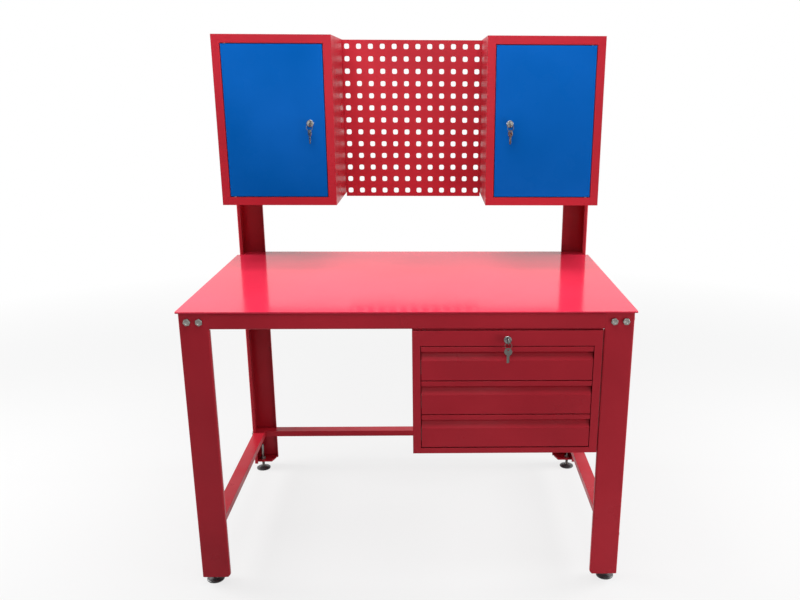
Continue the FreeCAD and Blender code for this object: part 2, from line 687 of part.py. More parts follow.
def back_bolts():
    """Bolts and nuts on the right that pass the upright from behind."""
    forward = V(0, -1, 0)
    grip = LEG_SHEET + CABINET_SHEET
    bolts = []
    nuts = []
    for x, z in cabinet_bolt_places():
        seat = V(x, BENCH_BACK, z)
        bolts.append(bolt(seat, forward, grip + NUT_HEIGHT + BOLT_TAIL))
        nuts.append(nut(seat + forward * grip, forward))
    x, z = rear_tube_bolt_place()
    seat = V(x, BENCH_BACK, z)
    bolts.append(bolt(seat, forward, LEG_SHEET + RIVET_NUT_LENGTH))
    nuts.append(rivet_nut(seat + forward * LEG_SHEET, forward))
    return bolts, nuts


def case_bolts():
    up = V(0, 0, 1)
    grip = CASE_SHEET + STIFFENER_SHEET
    bolts = []
    nuts = []
    for x, y in case_bolt_places():
        seat = V(x, y, CASE_TOP - CASE_SHEET)
        bolts.append(bolt(seat, up, grip + NUT_HEIGHT + BOLT_TAIL))
        nuts.append(nut(seat + up * grip, up))
    return bolts, nuts


# Levelling feet

def foot_centre():
    return LEG_OUTER - FOOT_INSET_X, LEG_FRONT_SETBACK + FOOT_INSET_Y


def foot_plate():
    left = LEG_INNER + LEG_SHEET + FOOT_PLATE_GAP
    right = LEG_OUTER - LEG_SHEET
    front = LEG_FRONT_SETBACK + LEG_SHEET
    back = LEG_BACK - LEG_SHEET
    corner = FOOT_PLATE_CORNER
    plan = [(left, front), (right - corner, front), (right, front + corner),
            (right, back - corner), (right - corner, back), (left, back)]
    height = LEG_BOTTOM + LEG_FOOT_CHAMFER
    plate = prism(at_height(plan, height), V(0, 0, FOOT_PLATE))
    x, y = foot_centre()
    return plate.cut(shank(BOLT_HOLE_RADIUS, V(x, y, 0), V(x, y, TUBE_TOP)))


def foot_nuts():
    x, y = foot_centre()
    low = LEG_BOTTOM + LEG_FOOT_CHAMFER
    weld = hexagon(BOLT_FLATS, V(x, y, low + FOOT_PLATE), V(x, y, low + FOOT_PLATE + NUT_HEIGHT))
    jam = hexagon(BOLT_FLATS, V(x, y, low - JAM_NUT_HEIGHT), V(x, y, low))
    bore = shank(STUD_RADIUS + STUD_CLEARANCE, V(x, y, 0), V(x, y, TUBE_TOP))
    return [weld.cut(bore), jam.cut(bore)]


def levelling_foot():
    """A threaded stud in a moulded disc, for the right front leg."""
    x, y = foot_centre()
    outline = [V(x, y, 0), V(x + FOOT_RADIUS, y, 0), V(x + FOOT_RADIUS, y, FOOT_RIM),
               V(x + FOOT_HUB_RADIUS, y, FOOT_HEIGHT), V(x, y, FOOT_HEIGHT), V(x, y, 0)]
    disc = Part.Face(Part.makePolygon(outline)).revolve(V(x, y, 0), V(0, 0, 1), 360)
    stud = shank(STUD_RADIUS, V(x, y, STUD_BASE), V(x, y, STUD_TOP))
    return [disc.cut(stud), stud]


# Wall cabinets, shown for the right-hand side

def cabinet_back():
    return FLANGE_FACE


def cabinet_front():
    """The frame round a doorway, with the collar folded back from it."""
    sheet = CABINET_SHEET
    border = CABINET_BORDER
    plate = box(CABINET_INNER, CABINET_OUTER, CABINET_FRONT, CABINET_FRONT + sheet,
                CABINET_BOTTOM, CABINET_TOP)
    collar = box(CABINET_INNER + border - sheet, CABINET_OUTER - border + sheet,
                 CABINET_FRONT, CABINET_FRONT + CABINET_RETURN,
                 CABINET_BOTTOM + border - sheet, CABINET_TOP - border + sheet)
    doorway = box(CABINET_INNER + border, CABINET_OUTER - border,
                  CABINET_FRONT - OVERRUN, CABINET_FRONT + CABINET_RETURN + OVERRUN,
                  CABINET_BOTTOM + border, CABINET_TOP - border)
    pins = rod(PIVOT_RADIUS + PIVOT_CLEARANCE,
               V(PIVOT_X, PIVOT_Y, CABINET_BOTTOM + sheet + OVERRUN),
               V(PIVOT_X, PIVOT_Y, CABINET_TOP - sheet - OVERRUN))
    return plate.fuse(collar).cut([doorway, pins])


def cabinet_case():
    """The welded case: front frame, two sides, floor, roof and back."""
    back = cabinet_back()
    sheet = CABINET_SHEET
    start = CABINET_FRONT + sheet
    end = back - sheet
    outer = box(CABINET_OUTER - sheet, CABINET_OUTER, start, end, CABINET_BOTTOM, CABINET_TOP)
    inner = moved(outer, V(sheet - CABINET_WIDTH, 0, 0))
    floor = box(CABINET_INNER + sheet, CABINET_OUTER - sheet, start, end,
                CABINET_BOTTOM, CABINET_BOTTOM + sheet)
    roof = moved(floor, V(0, 0, CABINET_HEIGHT - sheet))
    panel = box(CABINET_INNER, CABINET_OUTER, end, back, CABINET_BOTTOM, CABINET_TOP)
    holes = [shank(BOLT_HOLE_RADIUS, V(x, end - OVERRUN, z), V(x, back + OVERRUN, z))
             for x, z in cabinet_bolt_places()]
    return [cabinet_front(), outer, inner, floor, roof, panel.cut(holes)]


def shelf_place():
    return CABINET_BOTTOM + SHELF_HEIGHT


def shelf():
    left = CABINET_INNER + CABINET_SHEET + SHELF_SIDE_GAP
    right = CABINET_OUTER - CABINET_SHEET - SHELF_SIDE_GAP
    front = CABINET_FRONT + SHELF_SETBACK
    back = cabinet_back() - CABINET_SHEET - SHELF_SIDE_GAP
    top = shelf_place()
    corners = [(back, top), (front, top), (front, top - SHELF_LIP),
               (front + CLIP_SIZE, top - SHELF_LIP)]
    return folded(corners, SHELF_SHEET, SHELF_SHEET, lambda point: V(left, point.x, point.y),
                  V(right - left, 0, 0))


def shelf_clips():
    seat = shelf_place() - SHELF_SHEET
    walls = [(CABINET_INNER + CABINET_SHEET, 1), (CABINET_OUTER - CABINET_SHEET, -1)]
    front = CABINET_FRONT + SHELF_SETBACK + CLIP_INSET
    back = cabinet_back() - CABINET_SHEET - CLIP_INSET - CLIP_LENGTH
    clips = []
    for wall, sign in walls:
        for y in (front, back):
            points = [V(wall, y, seat), V(wall + sign * CLIP_SIZE, y, seat), V(wall, y, seat - CLIP_SIZE)]
            clips.append(prism(points, V(0, CLIP_LENGTH, 0)))
    return clips


def hinge_pins():
    """A headed pin above the door and a collared one below it."""
    high_ledge = CABINET_TOP - CABINET_BORDER + CABINET_SHEET
    low_ledge = CABINET_BOTTOM + CABINET_BORDER

    def at(height):
        return V(PIVOT_X, PIVOT_Y, height)
    upper = rod(PIVOT_RADIUS, at(DOOR_TOP - PIVOT_REACH), at(high_ledge))
    head = bar(SHANK_SIDES, PIVOT_HEAD_FLATS, at(high_ledge), at(high_ledge + PIVOT_HEAD))
    lower = rod(PIVOT_RADIUS, at(low_ledge - CABINET_SHEET), at(DOOR_BOTTOM + PIVOT_REACH))
    collar = bar(SHANK_SIDES, PIVOT_HEAD_FLATS, at(low_ledge), at(DOOR_BOTTOM - RUNNING_GAP))
    return [upper.fuse(head), lower.fuse(collar)]


def door():
    sheet = DOOR_SHEET
    front = CABINET_FRONT
    back = front + DOOR_THICKNESS
    body = box(DOOR_INNER, DOOR_OUTER, front, back, DOOR_BOTTOM, DOOR_TOP)
    hollow = box(DOOR_INNER + sheet, DOOR_OUTER - sheet, front + sheet, back - sheet,
                 DOOR_BOTTOM + sheet, DOOR_TOP - sheet)
    edge = sheet + DOOR_LIP
    window = box(DOOR_INNER + edge, DOOR_OUTER - edge, back - sheet - OVERRUN, back + OVERRUN,
                 DOOR_BOTTOM + edge, DOOR_TOP - edge)
    pivots = rod(PIVOT_RADIUS + PIVOT_CLEARANCE, V(PIVOT_X, PIVOT_Y, DOOR_BOTTOM - OVERRUN),
                 V(PIVOT_X, PIVOT_Y, DOOR_TOP + OVERRUN))
    return body.cut([hollow, window, pivots, lock_hole(DOOR_LOCK)])


# Locks and keys, made at a lock whose axis runs back from (0, 0, 0) on the door's face

def along(y):
    return V(0, y, 0)


def lock_hole(place):
    """What is cut out of a sheet for a lock's barrel."""
    return rod(BARREL_RADIUS + BARREL_CLEARANCE, place - along(OVERRUN), place + along(BARREL_LENGTH / 2))


def lock_housing(sheet):
    flange = rod(LOCK_FLANGE_RADIUS, along(-LOCK_FLANGE), along(0))
    rim = [edge for edge in flange.Edges
           if edge.BoundBox.YMax < -LOCK_FLANGE / 2 and edge.BoundBox.XLength > LOCK_FLANGE]
    flange = flange.makeChamfer(LOCK_FLANGE_CHAMFER, rim)
    barrel = rod(BARREL_RADIUS, along(0), along(BARREL_LENGTH))
    bore = rod(PLUG_RADIUS + PLUG_CLEARANCE, along(-LOCK_FLANGE - OVERRUN), along(BARREL_LENGTH + OVERRUN))
    ring_nut = hexagon(LOCK_NUT_FLATS, along(sheet), along(sheet + LOCK_NUT_HEIGHT))
    opening = rod(BARREL_RADIUS, along(0), along(sheet + LOCK_NUT_HEIGHT + OVERRUN))
    return [flange.fuse(barrel).cut(bore), ring_nut.cut(opening)]


def neck_bar(start, end):
    half = PLUG_NECK / 2
    return box(-half, half, start, end, -half, half)


def lock_plug(with_screw):
    front = -LOCK_FLANGE - PLUG_PROUD
    plug = rod(PLUG_RADIUS, along(front), along(PLUG_NECK_START))
    plug = plug.fuse(neck_bar(PLUG_NECK_START, CAM_PLANE + CAM_THICKNESS))
    if with_screw:
        start = CAM_PLANE + CAM_THICKNESS
        plug = plug.fuse(hexagon(CAM_SCREW_FLATS, along(start), along(start + CAM_SCREW_HEAD)))
    half_width = KEY_THICKNESS / 2 + KEY_CLEARANCE
    half_height = KEY_BLADE / 2 + KEY_CLEARANCE
    depth = KEY_BLADE_LENGTH - LOCK_FLANGE - KEY_SHOULDER_GAP + KEY_CLEARANCE
    keyway = box(-half_width, half_width, front - OVERRUN, depth, -half_height, half_height)
    return plug.cut(keyway)


def cam():
    """The arm that locks a door, hanging straight down when unlocked."""
    half = CAM_WIDTH / 2
    end = V(0, CAM_PLANE, half - CAM_REACH)
    arm = box(-half, half, CAM_PLANE, CAM_PLANE + CAM_THICKNESS, half - CAM_REACH, 0)
    round_ends = [rod(half, along(CAM_PLANE), along(CAM_PLANE + CAM_THICKNESS)),
                  rod(half, end, end + V(0, CAM_THICKNESS, 0))]
    hole = neck_bar(CAM_PLANE - OVERRUN, CAM_PLANE + CAM_THICKNESS + OVERRUN)
    return arm.fuse(round_ends).cut(hole).removeSplitter()


def key():
    """A key with its shoulder at the plane Y = 0, its blade along +Y and its bow in front."""
    half = KEY_THICKNESS / 2
    blade_half = KEY_BLADE / 2
    start = -KEY_BOW_OFFSET
    step = KEY_BLADE_LENGTH / (2 * KEY_BITS + 1)
    points = [V(-half, start, -blade_half), V(-half, 0, -blade_half)]
    for bit in range(KEY_BITS):
        dip = (2 * bit + 1) * step
        points += [V(-half, dip, -blade_half), V(-half, dip + step / 2, KEY_BIT_DEPTH - blade_half),
                   V(-half, dip + step, -blade_half)]
    points += [V(-half, KEY_BLADE_LENGTH, 0), V(-half, KEY_BLADE_LENGTH, blade_half),
               V(-half, start, blade_half)]
    blade = prism(points, V(KEY_THICKNESS, 0, 0))
    bow = rod(KEY_BOW_RADIUS, V(-half, start, 0), V(half, start, 0))
    hole_y = start - KEY_HOLE_OFFSET
    hole = rod(KEY_HOLE_RADIUS, V(-half - OVERRUN, hole_y, 0), V(half + OVERRUN, hole_y, 0))
    return blade.fuse(bow).cut(hole)


def key_in_lock():
    return moved(key(), along(-LOCK_FLANGE - KEY_SHOULDER_GAP))


def ring_hang():
    """How far the middle of the ring's wire hangs below the middle of a key's hole."""
    return KEY_HOLE_RADIUS - RING_WIRE / math.sqrt(2) - RING_PLAY


def key_ring():
    """The split ring through the bow and the spare key that hangs on it."""
    centre = V(0, -KEY_HOLE_Y, -ring_hang() - RING_RADIUS)
    half = RING_WIRE / 2
    ring = rod(RING_RADIUS + half, centre - along(half), centre + along(half))
    ring = ring.cut(rod(RING_RADIUS - half, centre - along(RING_WIRE), centre + along(RING_WIRE)))
    spare = moved(key(), along(KEY_BOW_OFFSET + KEY_HOLE_OFFSET))
    spare.rotate(V(0, 0, 0), V(1, 0, 0), -90)
    spare.rotate(V(0, 0, 0), V(0, 0, 1), SPARE_TWIST)
    drop = centre.z - RING_RADIUS - ring_hang()
    return [ring, moved(spare, V(0, -KEY_HOLE_Y, drop))]


# Drawer unit

def drawer_bottom(index):
    """The lower edge of a drawer's front; drawer 0 is the top one."""
    return OPENING_TOP - DRAWER_GAP - DRAWER_FRONT - index * DRAWER_PITCH


def drawer_case():
    sheet = CASE_SHEET
    front = LEG_FRONT_SETBACK + FRAME_SHEET
    body = box(CASE_LEFT, CASE_RIGHT, front, CASE_BACK, CASE_BOTTOM, CASE_TOP)
    inside = box(CASE_LEFT + sheet, CASE_RIGHT - sheet, front - OVERRUN, CASE_BACK - sheet,
                 CASE_BOTTOM + sheet, CASE_TOP - sheet)
    holes = [shank(BOLT_HOLE_RADIUS, V(x, y, CASE_TOP - sheet - OVERRUN), V(x, y, CASE_TOP + OVERRUN))
             for x, y in case_bolt_places()]
    return body.cut([inside] + holes)


def drawer_face_frame():
    front = LEG_FRONT_SETBACK
    plate = box(CASE_LEFT, CASE_RIGHT, front, front + FRAME_SHEET, CASE_BOTTOM, FRAME_TOP)
    opening = box(OPENING_LEFT, OPENING_RIGHT, front - OVERRUN, front + FRAME_SHEET + OVERRUN,
                  OPENING_BOTTOM, OPENING_TOP)
    return plate.cut([opening, lock_hole(DRAWER_LOCK)])


def drawer_front(index):
    """A folded front with a finger grip across its whole width."""
    low = drawer_bottom(index)
    high = low + DRAWER_FRONT
    face = LEG_FRONT_SETBACK
    left = OPENING_LEFT + DRAWER_GAP
    corners = [(face + FRONT_FLANGE, high), (face, high), (face, high - GRIP_STRIP),
               (face + GRIP_DEPTH, high - GRIP_STRIP),
               (face, high - GRIP_STRIP - GRIP_HEIGHT), (face, low), (face + FRONT_FLANGE, low)]
    return folded(corners, FRONT_SHEET, FRONT_BEND, lambda point: V(left, point.x, point.y),
                  V(OPENING_RIGHT - DRAWER_GAP - left, 0, 0))


def tray_floor(index):
    return drawer_bottom(index) + FRONT_SHEET


def drawer_tray(index):
    """A tray welded from a floor, a front, a back and two hemmed sides, with its lug."""
    low = tray_floor(index)
    start = low + TRAY_SHEET
    rim = low + TRAY_SIDE
    front_top = drawer_bottom(index) + DRAWER_FRONT - FRONT_SHEET
    floor = box(TRAY_LEFT, TRAY_RIGHT, TRAY_FRONT, TRAY_BACK, low, start)
    front = box(TRAY_LEFT, TRAY_RIGHT, TRAY_FRONT, TRAY_FRONT + TRAY_SHEET, start, front_top)
    back = box(TRAY_LEFT, TRAY_RIGHT, TRAY_BACK - TRAY_SHEET, TRAY_BACK, start, rim)
    side = tray_side(start, rim)
    return [floor, front, back, side, mirrored_x(side, CASE_MIDDLE), lug(rim)]


def tray_side(low, rim):
    """The left side of a tray, whose top edge is folded in."""
    inside = TRAY_LEFT + TRAY_SHEET
    corners = [(TRAY_LEFT, low), (inside, low), (inside, rim - TRAY_SHEET),
               (inside + TRAY_HEM, rim - TRAY_SHEET), (inside + TRAY_HEM, rim), (TRAY_LEFT, rim)]
    start = TRAY_FRONT + TRAY_SHEET
    return prism([V(x, start, z) for x, z in corners], V(0, TRAY_BACK - TRAY_SHEET - start, 0))


def lug(rim):
    """The hooked lug behind a tray that the locking bar's finger catches."""
    def place(point):
        return V(BAR_MIDDLE - LUG_WIDTH / 2, point.x, point.y)
    end = TRAY_BACK + LUG_REACH
    corners = [(end - LUG_SHEET, rim - LUG_SHEET - LUG_LIP), (end, rim - LUG_SHEET - LUG_LIP),
               (end, rim), (TRAY_BACK, rim), (TRAY_BACK, rim - LUG_SHEET),
               (end - LUG_SHEET, rim - LUG_SHEET)]
    return prism([place(V(u, v, 0)) for u, v in corners], V(LUG_WIDTH, 0, 0))


def channel(index, web, way, height, depth):
    """A slide member: its web's outer side at `web`, flanges running along `way`."""
    middle = tray_floor(index) + SLIDE_CENTRE
    start = TRAY_FRONT
    half = height / 2
    sheet = SLIDE_SHEET
    far = web + way * depth
    near = web + way * sheet
    points = [(web, -half), (far, -half), (far, sheet - half), (near, sheet - half),
              (near, half - sheet), (far, half - sheet), (far, half), (web, half)]
    return prism([V(x, start, middle + z) for x, z in points], V(0, SLIDE_LENGTH, 0))


def slide_pair(index, web, way, height):
    left = channel(index, web, way, height, SLIDE_FLANGE)
    return [left, mirrored_x(left, CASE_MIDDLE)]


def inner_height(height):
    return height - 2 * SLIDE_SHEET - 2 * RUNNING_GAP


def slide_outer(index):
    return slide_pair(index, SLIDE_X, 1, SLIDE_HEIGHT)


def slide_middle(index):
    web = SLIDE_X + SLIDE_SHEET + SLIDE_WEB_GAP
    return slide_pair(index, web, 1, inner_height(SLIDE_HEIGHT))


def slide_inner(index):
    height = inner_height(inner_height(SLIDE_HEIGHT))
    left = channel(index, TRAY_LEFT, -1, height, SLIDE_FLANGE - SLIDE_SHEET - SLIDE_WEB_GAP)
    return [left, mirrored_x(left, CASE_MIDDLE)]


def slide_posts():
    """Four channel posts that carry the slides clear of the case's sides."""
    wall = CASE_LEFT + CASE_SHEET
    low = CASE_BOTTOM + CASE_SHEET
    posts = []
    for start in (LEG_FRONT_SETBACK + FRONT_BRACKET_SETBACK,
                  CASE_BACK - REAR_BRACKET_INSET - BRACKET_WIDTH):
        end = start + BRACKET_WIDTH
        corners = [(wall, start), (SLIDE_X, start), (SLIDE_X, end), (wall, end)]
        post = sharp_sheet(corners, BRACKET_SHEET, lambda point: V(point.x, point.y, low),
                           V(0, 0, OPENING_TOP - low))
        posts += [post, mirrored_x(post, CASE_MIDDLE)]
    return posts


# Locking gear of the drawers

def lock_rod():
    x, _, z = DRAWER_LOCK
    neck_end = LEG_FRONT_SETBACK + CAM_PLANE + CAM_THICKNESS
    boss_start = LEG_FRONT_SETBACK + PLUG_NECK_START + RUNNING_GAP

    def at(y):
        return V(x, y, z)
    boss = bar(SHANK_SIDES, ROD_BOSS_FLATS, at(boss_start), at(boss_start + ROD_BOSS_LENGTH))
    shaft = rod(ROD_RADIUS, at(neck_end), at(CRANK_FRONT))
    disc = rod(CRANK_RADIUS, at(CRANK_FRONT), at(CRANK_FRONT + CRANK_THICKNESS))
    pin_foot = V(x - CRANK_SIDE, CRANK_FRONT, z - CRANK_SIDE)
    pin = rod(CRANK_PIN_RADIUS, pin_foot, V(pin_foot.x, BAR_FRONT + BAR_THICKNESS + RUNNING_GAP, pin_foot.z))
    socket = moved(neck_bar(boss_start - OVERRUN, neck_end), V(x, 0, z))
    return boss.fuse([shaft, disc, pin]).cut(socket)


def rod_bearing():
    x, _, z = DRAWER_LOCK
    start = TRAY_BACK + ROD_BEARING_SETBACK
    half = ROD_BEARING_WIDTH / 2
    plate = box(x - half, x + half, start, start + ROD_BEARING_THICKNESS,
                z - ROD_BEARING_DROP, CASE_TOP - CASE_SHEET)
    bore = rod(ROD_RADIUS + ROD_BEARING_CLEARANCE, V(x, start - OVERRUN, z),
               V(x, start + ROD_BEARING_THICKNESS + OVERRUN, z))
    return plate.cut(bore)


def lock_bar():
    half = BAR_WIDTH / 2
    x = BAR_MIDDLE
    bar = box(x - half, x + half, BAR_FRONT, BAR_FRONT + BAR_THICKNESS, BAR_BOTTOM, BAR_TOP)
    slot_half = (CRANK_THROW - CRANK_SIDE) / 2 + CRANK_PIN_RADIUS + BAR_SLOT_GAP
    slot_z = DRAWER_LOCK.z - CRANK_SIDE
    slot_rise = CRANK_PIN_RADIUS + BAR_SLOT_GAP
    slot = box(x - slot_half, x + slot_half, BAR_FRONT - OVERRUN, BAR_FRONT + BAR_THICKNESS + OVERRUN,
               slot_z - slot_rise, slot_z + slot_rise)
    return bar.fuse([finger(index) for index in range(DRAWER_COUNT)]).cut(slot).removeSplitter()


def finger(index):
    tip = tray_floor(index) + TRAY_SIDE - LUG_SHEET - LUG_LIP - FINGER_DROP
    start = TRAY_BACK + FINGER_TIP_GAP
    arm = tip - FINGER_TIP
    points = [(start, arm - FINGER_SHEET), (BAR_FRONT + BAR_THICKNESS / 2, arm - FINGER_SHEET),
              (BAR_FRONT + BAR_THICKNESS / 2, arm), (start + FINGER_SHEET, arm),
              (start + FINGER_SHEET, tip), (start, tip)]
    left = BAR_MIDDLE - FINGER_WIDTH / 2
    return prism([V(left, y, z) for y, z in points], V(FINGER_WIDTH, 0, 0))


def bar_guides():
    half = BAR_WIDTH / 2 + RUNNING_GAP
    front = BAR_FRONT - RUNNING_GAP
    back = BAR_FRONT + BAR_THICKNESS + RUNNING_GAP
    low = CASE_BOTTOM + CASE_SHEET + BAR_FOOT + GUIDE_LIFT
    high = tray_floor(0) + TRAY_SIDE - GUIDE_DROP
    guides = []
    for z in (low, high):
        block = box(BAR_MIDDLE - half - GUIDE_WALL, BAR_MIDDLE + half + GUIDE_WALL,
                    front - GUIDE_WALL, CASE_BACK - CASE_SHEET, z, z + GUIDE_HEIGHT)
        way = box(BAR_MIDDLE - half, BAR_MIDDLE + half, front, back, z - OVERRUN, z + GUIDE_HEIGHT + OVERRUN)
        guides.append(block.cut(way))
    return guides


# Pegboard

def peg_places(width):
    """Middles of as many holes as fit across `width`, from the middle of the board."""
    steps = int((width - PEG_HOLE - 2 * PEG_MARGIN) / PEG_PITCH)
    return [(step - steps / 2) * PEG_PITCH for step in range(steps + 1)]


def pegboard():
    half = CABINET_INNER
    front = cabinet_back() - PEG_FLANGE
    outline = [V(-half, front, PEG_BOTTOM), V(half, front, PEG_BOTTOM), V(half, front, PEG_TOP),
               V(-half, front, PEG_TOP)]
    wires = [Part.makePolygon(outline + [outline[0]])]
    middle = (PEG_BOTTOM + PEG_TOP) / 2
    side = PEG_HOLE / 2
    for x in peg_places(2 * half):
        for rise in peg_places(PEG_TOP - PEG_BOTTOM):
            z = middle + rise
            hole = [V(x - side, front, z - side), V(x + side, front, z - side),
                    V(x + side, front, z + side), V(x - side, front, z + side)]
            wires.append(Part.makePolygon(hole + [hole[0]]))
    panel = Part.Face(wires, "Part::FaceMakerBullseye").extrude(V(0, PEG_SHEET, 0))
    back = cabinet_back()
    rim = box(-half, half, front + PEG_SHEET, back, PEG_BOTTOM, PEG_TOP)
    hollow = box(-half + PEG_SHEET, half - PEG_SHEET, front + PEG_SHEET - OVERRUN, back + OVERRUN,
                 PEG_BOTTOM + PEG_SHEET, PEG_TOP - PEG_SHEET)
    return panel.fuse(rim.cut(hollow)).removeSplitter()


def write_frame():
    right_leg = leg(RAIL_TOP, RAIL_TOP)
    right_upright = upright()
    rail = front_rail()
    write("worktop", worktop())
    write("worktop_stiffeners", *stiffeners())
    write("front_rail", rail)
    write("rear_rail", mirrored_y(rail))
    write("side_rails", *both_sides([side_rail()]))
    write("joint_plates", *four_corners(joint_plates()))
    write("front_leg_right", right_leg)
    write("front_leg_left", mirrored_x(right_leg))
    write("rear_upright_right", right_upright)
    write("rear_upright_left", mirrored_x(right_upright))
    write("stretchers", *both_sides([side_stretcher()]), rear_stretcher())
    corner = corner_bolts()
    back = back_bolts()
    case = case_bolts()
    write("frame_bolts", *four_corners(corner[0]), *both_sides(back[0]), *case[0])
    write("frame_nuts", *four_corners(corner[1]), *both_sides(back[1]), *case[1])


def write_feet():
    write("foot_plates", *four_corners([foot_plate()]))
    write("foot_nuts", *four_corners(foot_nuts()))
    right = levelling_foot()
    left = [mirrored_x(piece) for piece in right]
    write("levelling_foot_front_right", *right)
    write("levelling_foot_front_left", *left)
    write("levelling_foot_rear_right", *[mirrored_y(piece) for piece in right])
    write("levelling_foot_rear_left", *[mirrored_y(piece) for piece in left])


def write_cabinets():
    case = cabinet_case()
    panel = door()
    write("cabinet_case_right", *case)
    write("cabinet_case_left", *[mirrored_x(sheet) for sheet in case])
    write("door_right", panel)
    write("door_left", mirrored_x(panel))
    write("cabinet_shelves", *both_sides([shelf()]))
    write("shelf_clips", *both_sides(shelf_clips()))
    write("hinge_pins", *both_sides(hinge_pins()))
    write("pegboard", pegboard())


def write_locks():
    door_left = V(-DOOR_LOCK.x, DOOR_LOCK.y, DOOR_LOCK.z)
    arm = cam()
    write("lock_cam_right", moved(arm, DOOR_LOCK))
    write("lock_cam_left", moved(arm, door_left))
    locks = [("right", DOOR_LOCK, DOOR_SHEET, True), ("left", door_left, DOOR_SHEET, True),
             ("drawer", DRAWER_LOCK, FRAME_SHEET, False)]
    for name, place, sheet, with_screw in locks:
        write("lock_housing_" + name, *[moved(piece, place) for piece in lock_housing(sheet)])
        write("lock_plug_" + name, moved(lock_plug(with_screw), place))
        write("key_" + name, moved(key_in_lock(), place))
    for name, place in (("right", DOOR_LOCK), ("left", door_left)):
        write("key_ring_" + name, *[moved(piece, place) for piece in key_ring()])


def write_drawers():
    write("drawer_case", drawer_case())
    write("drawer_face_frame", drawer_face_frame())
    write("case_brackets", *slide_posts(), *bar_guides(), rod_bearing())
    outer = []
    for index in range(DRAWER_COUNT):
        number = str(index + 1)
        outer += slide_outer(index)
        write("slide_middle_" + number, *slide_middle(index))
        write("slide_inner_" + number, *slide_inner(index))
        write("drawer_front_" + number, drawer_front(index))
        write("drawer_tray_" + number, *drawer_tray(index))
    write("slide_outer_members", *outer)
    write("lock_rod", lock_rod())
    write("lock_bar", lock_bar())


os.makedirs("parts", exist_ok=True)
write_frame()
write_feet()
write_cabinets()
write_locks()
write_drawers()
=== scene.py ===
import json
import math

import bmesh
import bpy
from mathutils import Matrix, Vector

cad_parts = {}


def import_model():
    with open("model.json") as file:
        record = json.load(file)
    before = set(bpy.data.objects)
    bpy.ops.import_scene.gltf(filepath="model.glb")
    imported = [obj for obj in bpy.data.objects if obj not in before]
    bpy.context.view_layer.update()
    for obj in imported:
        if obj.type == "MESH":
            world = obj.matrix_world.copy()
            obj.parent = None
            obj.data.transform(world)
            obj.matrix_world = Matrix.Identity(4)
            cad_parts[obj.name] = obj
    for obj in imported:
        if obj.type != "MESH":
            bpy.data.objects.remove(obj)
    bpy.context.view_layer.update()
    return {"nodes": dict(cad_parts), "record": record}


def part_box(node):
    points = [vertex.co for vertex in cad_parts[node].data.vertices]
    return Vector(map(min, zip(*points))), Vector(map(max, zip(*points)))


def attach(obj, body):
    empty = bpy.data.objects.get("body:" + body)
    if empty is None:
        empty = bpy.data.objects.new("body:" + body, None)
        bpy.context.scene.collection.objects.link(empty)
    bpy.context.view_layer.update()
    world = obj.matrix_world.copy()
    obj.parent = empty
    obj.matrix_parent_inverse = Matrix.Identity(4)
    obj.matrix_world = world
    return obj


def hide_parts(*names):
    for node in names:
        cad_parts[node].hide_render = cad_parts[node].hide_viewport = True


# A red and blue steel workbench with overhead cabinets, a pegboard and a drawer unit.
# Metres in the frame of the CAD model: +X right, +Y back, +Z up, floor at Z = 0.

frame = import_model()

# The photograph's frame and the camera that took it
PHOTO_WIDTH = 800
PHOTO_HEIGHT = 600
SENSOR = 36.0                      # millimetres
FOCAL_PIXELS = 842.4
AXIS_X = 452.3                     # where the lens axis meets the photograph
AXIS_Y = 344.6
CAMERA_X = 0.0627
CAMERA_AHEAD = 2.1036              # in front of the worktop's front edge
CAMERA_HEIGHT = 1.3845
CAMERA_YAW = math.radians(1.434)   # to the right of +Y
CAMERA_PITCH = math.radians(-17.496)
CAMERA_ROLL = math.radians(0.269)
CAMERA_REACH = 60.0

# Colours, linear
FRAME_RED = (0.400, 0.0120, 0.0250)
# the worktop's red is the frame's powder coat made lighter: painted light from above on the top
TOP_RED_PAINTED_LIGHT = (0.640, 0.0240, 0.0600)
DOOR_BLUE = (0.0, 0.0950, 0.4000)
ZINC_GREY = (0.26, 0.255, 0.24)
CHROME_GREY = (0.22, 0.22, 0.22)
NICKEL_GREY = (0.150, 0.145, 0.135)
FOOT_BLACK = (0.030, 0.030, 0.033)
FLOOR_GREY = (0.41, 0.41, 0.41)
WHITE = (1.0, 1.0, 1.0)

# Noise patterns: scale, detail and, where it isn't 0.5, roughness
PAINT_DRIFT = (2.6, 4.0)
PAINT_SMEARS = (7.0, 6.0, 0.62)
PAINT_PEEL = (420.0, 2.0)
METAL_TINT = (90.0, 3.0)
METAL_STREAKS = (240.0, 5.0, 0.65)
METAL_GRAIN_DETAIL = 2.0
PLASTIC_DUST = (60.0, 5.0, 0.6)
PLASTIC_GRAIN = (900.0, 2.0)

# The part of a pattern's range over which it changes a colour or a roughness
MIDDLE = (0.3, 0.7)
SMEARED = (0.35, 0.7)
DUSTY = (0.45, 0.75)

# What a pattern makes of a colour or a roughness
PAINT_DARK_SHARE = 0.86
PAINT_LIGHT_SHARE = 1.10
PAINT_LIGHT_LIFT = 0.004           # added to that share
METAL_DARK_SHARE = 0.78
DUST_SHARE = 1.6
DUST_LIFT = 0.02
PAINT_ROUGHNESS_SHARES = (0.8, 1.35)
METAL_ROUGHNESS_SHARES = (0.7, 1.5)
PLASTIC_ROUGHNESS_SHARES = (0.85, 1.15)

# Depth of the surfaces' relief, and the radius by which edges look rounded
PAINT_RELIEF = 0.0004
METAL_RELIEF = 0.0001
PLASTIC_RELIEF = 0.0002
PLASTIC_RELIEF_STRENGTH = 0.25
PAINT_EDGE = 0.0012
PLASTIC_EDGE = 0.0006
EDGE_SAMPLES = 6

# How near counts as the same
WELD = 1e-6                        # two points
NEAR = 1e-5                        # a point and the plane or box that it belongs to
ALIKE = 1e-4                       # two widths, or two edges of a sheet
DECIMALS = 5                       # of a coordinate

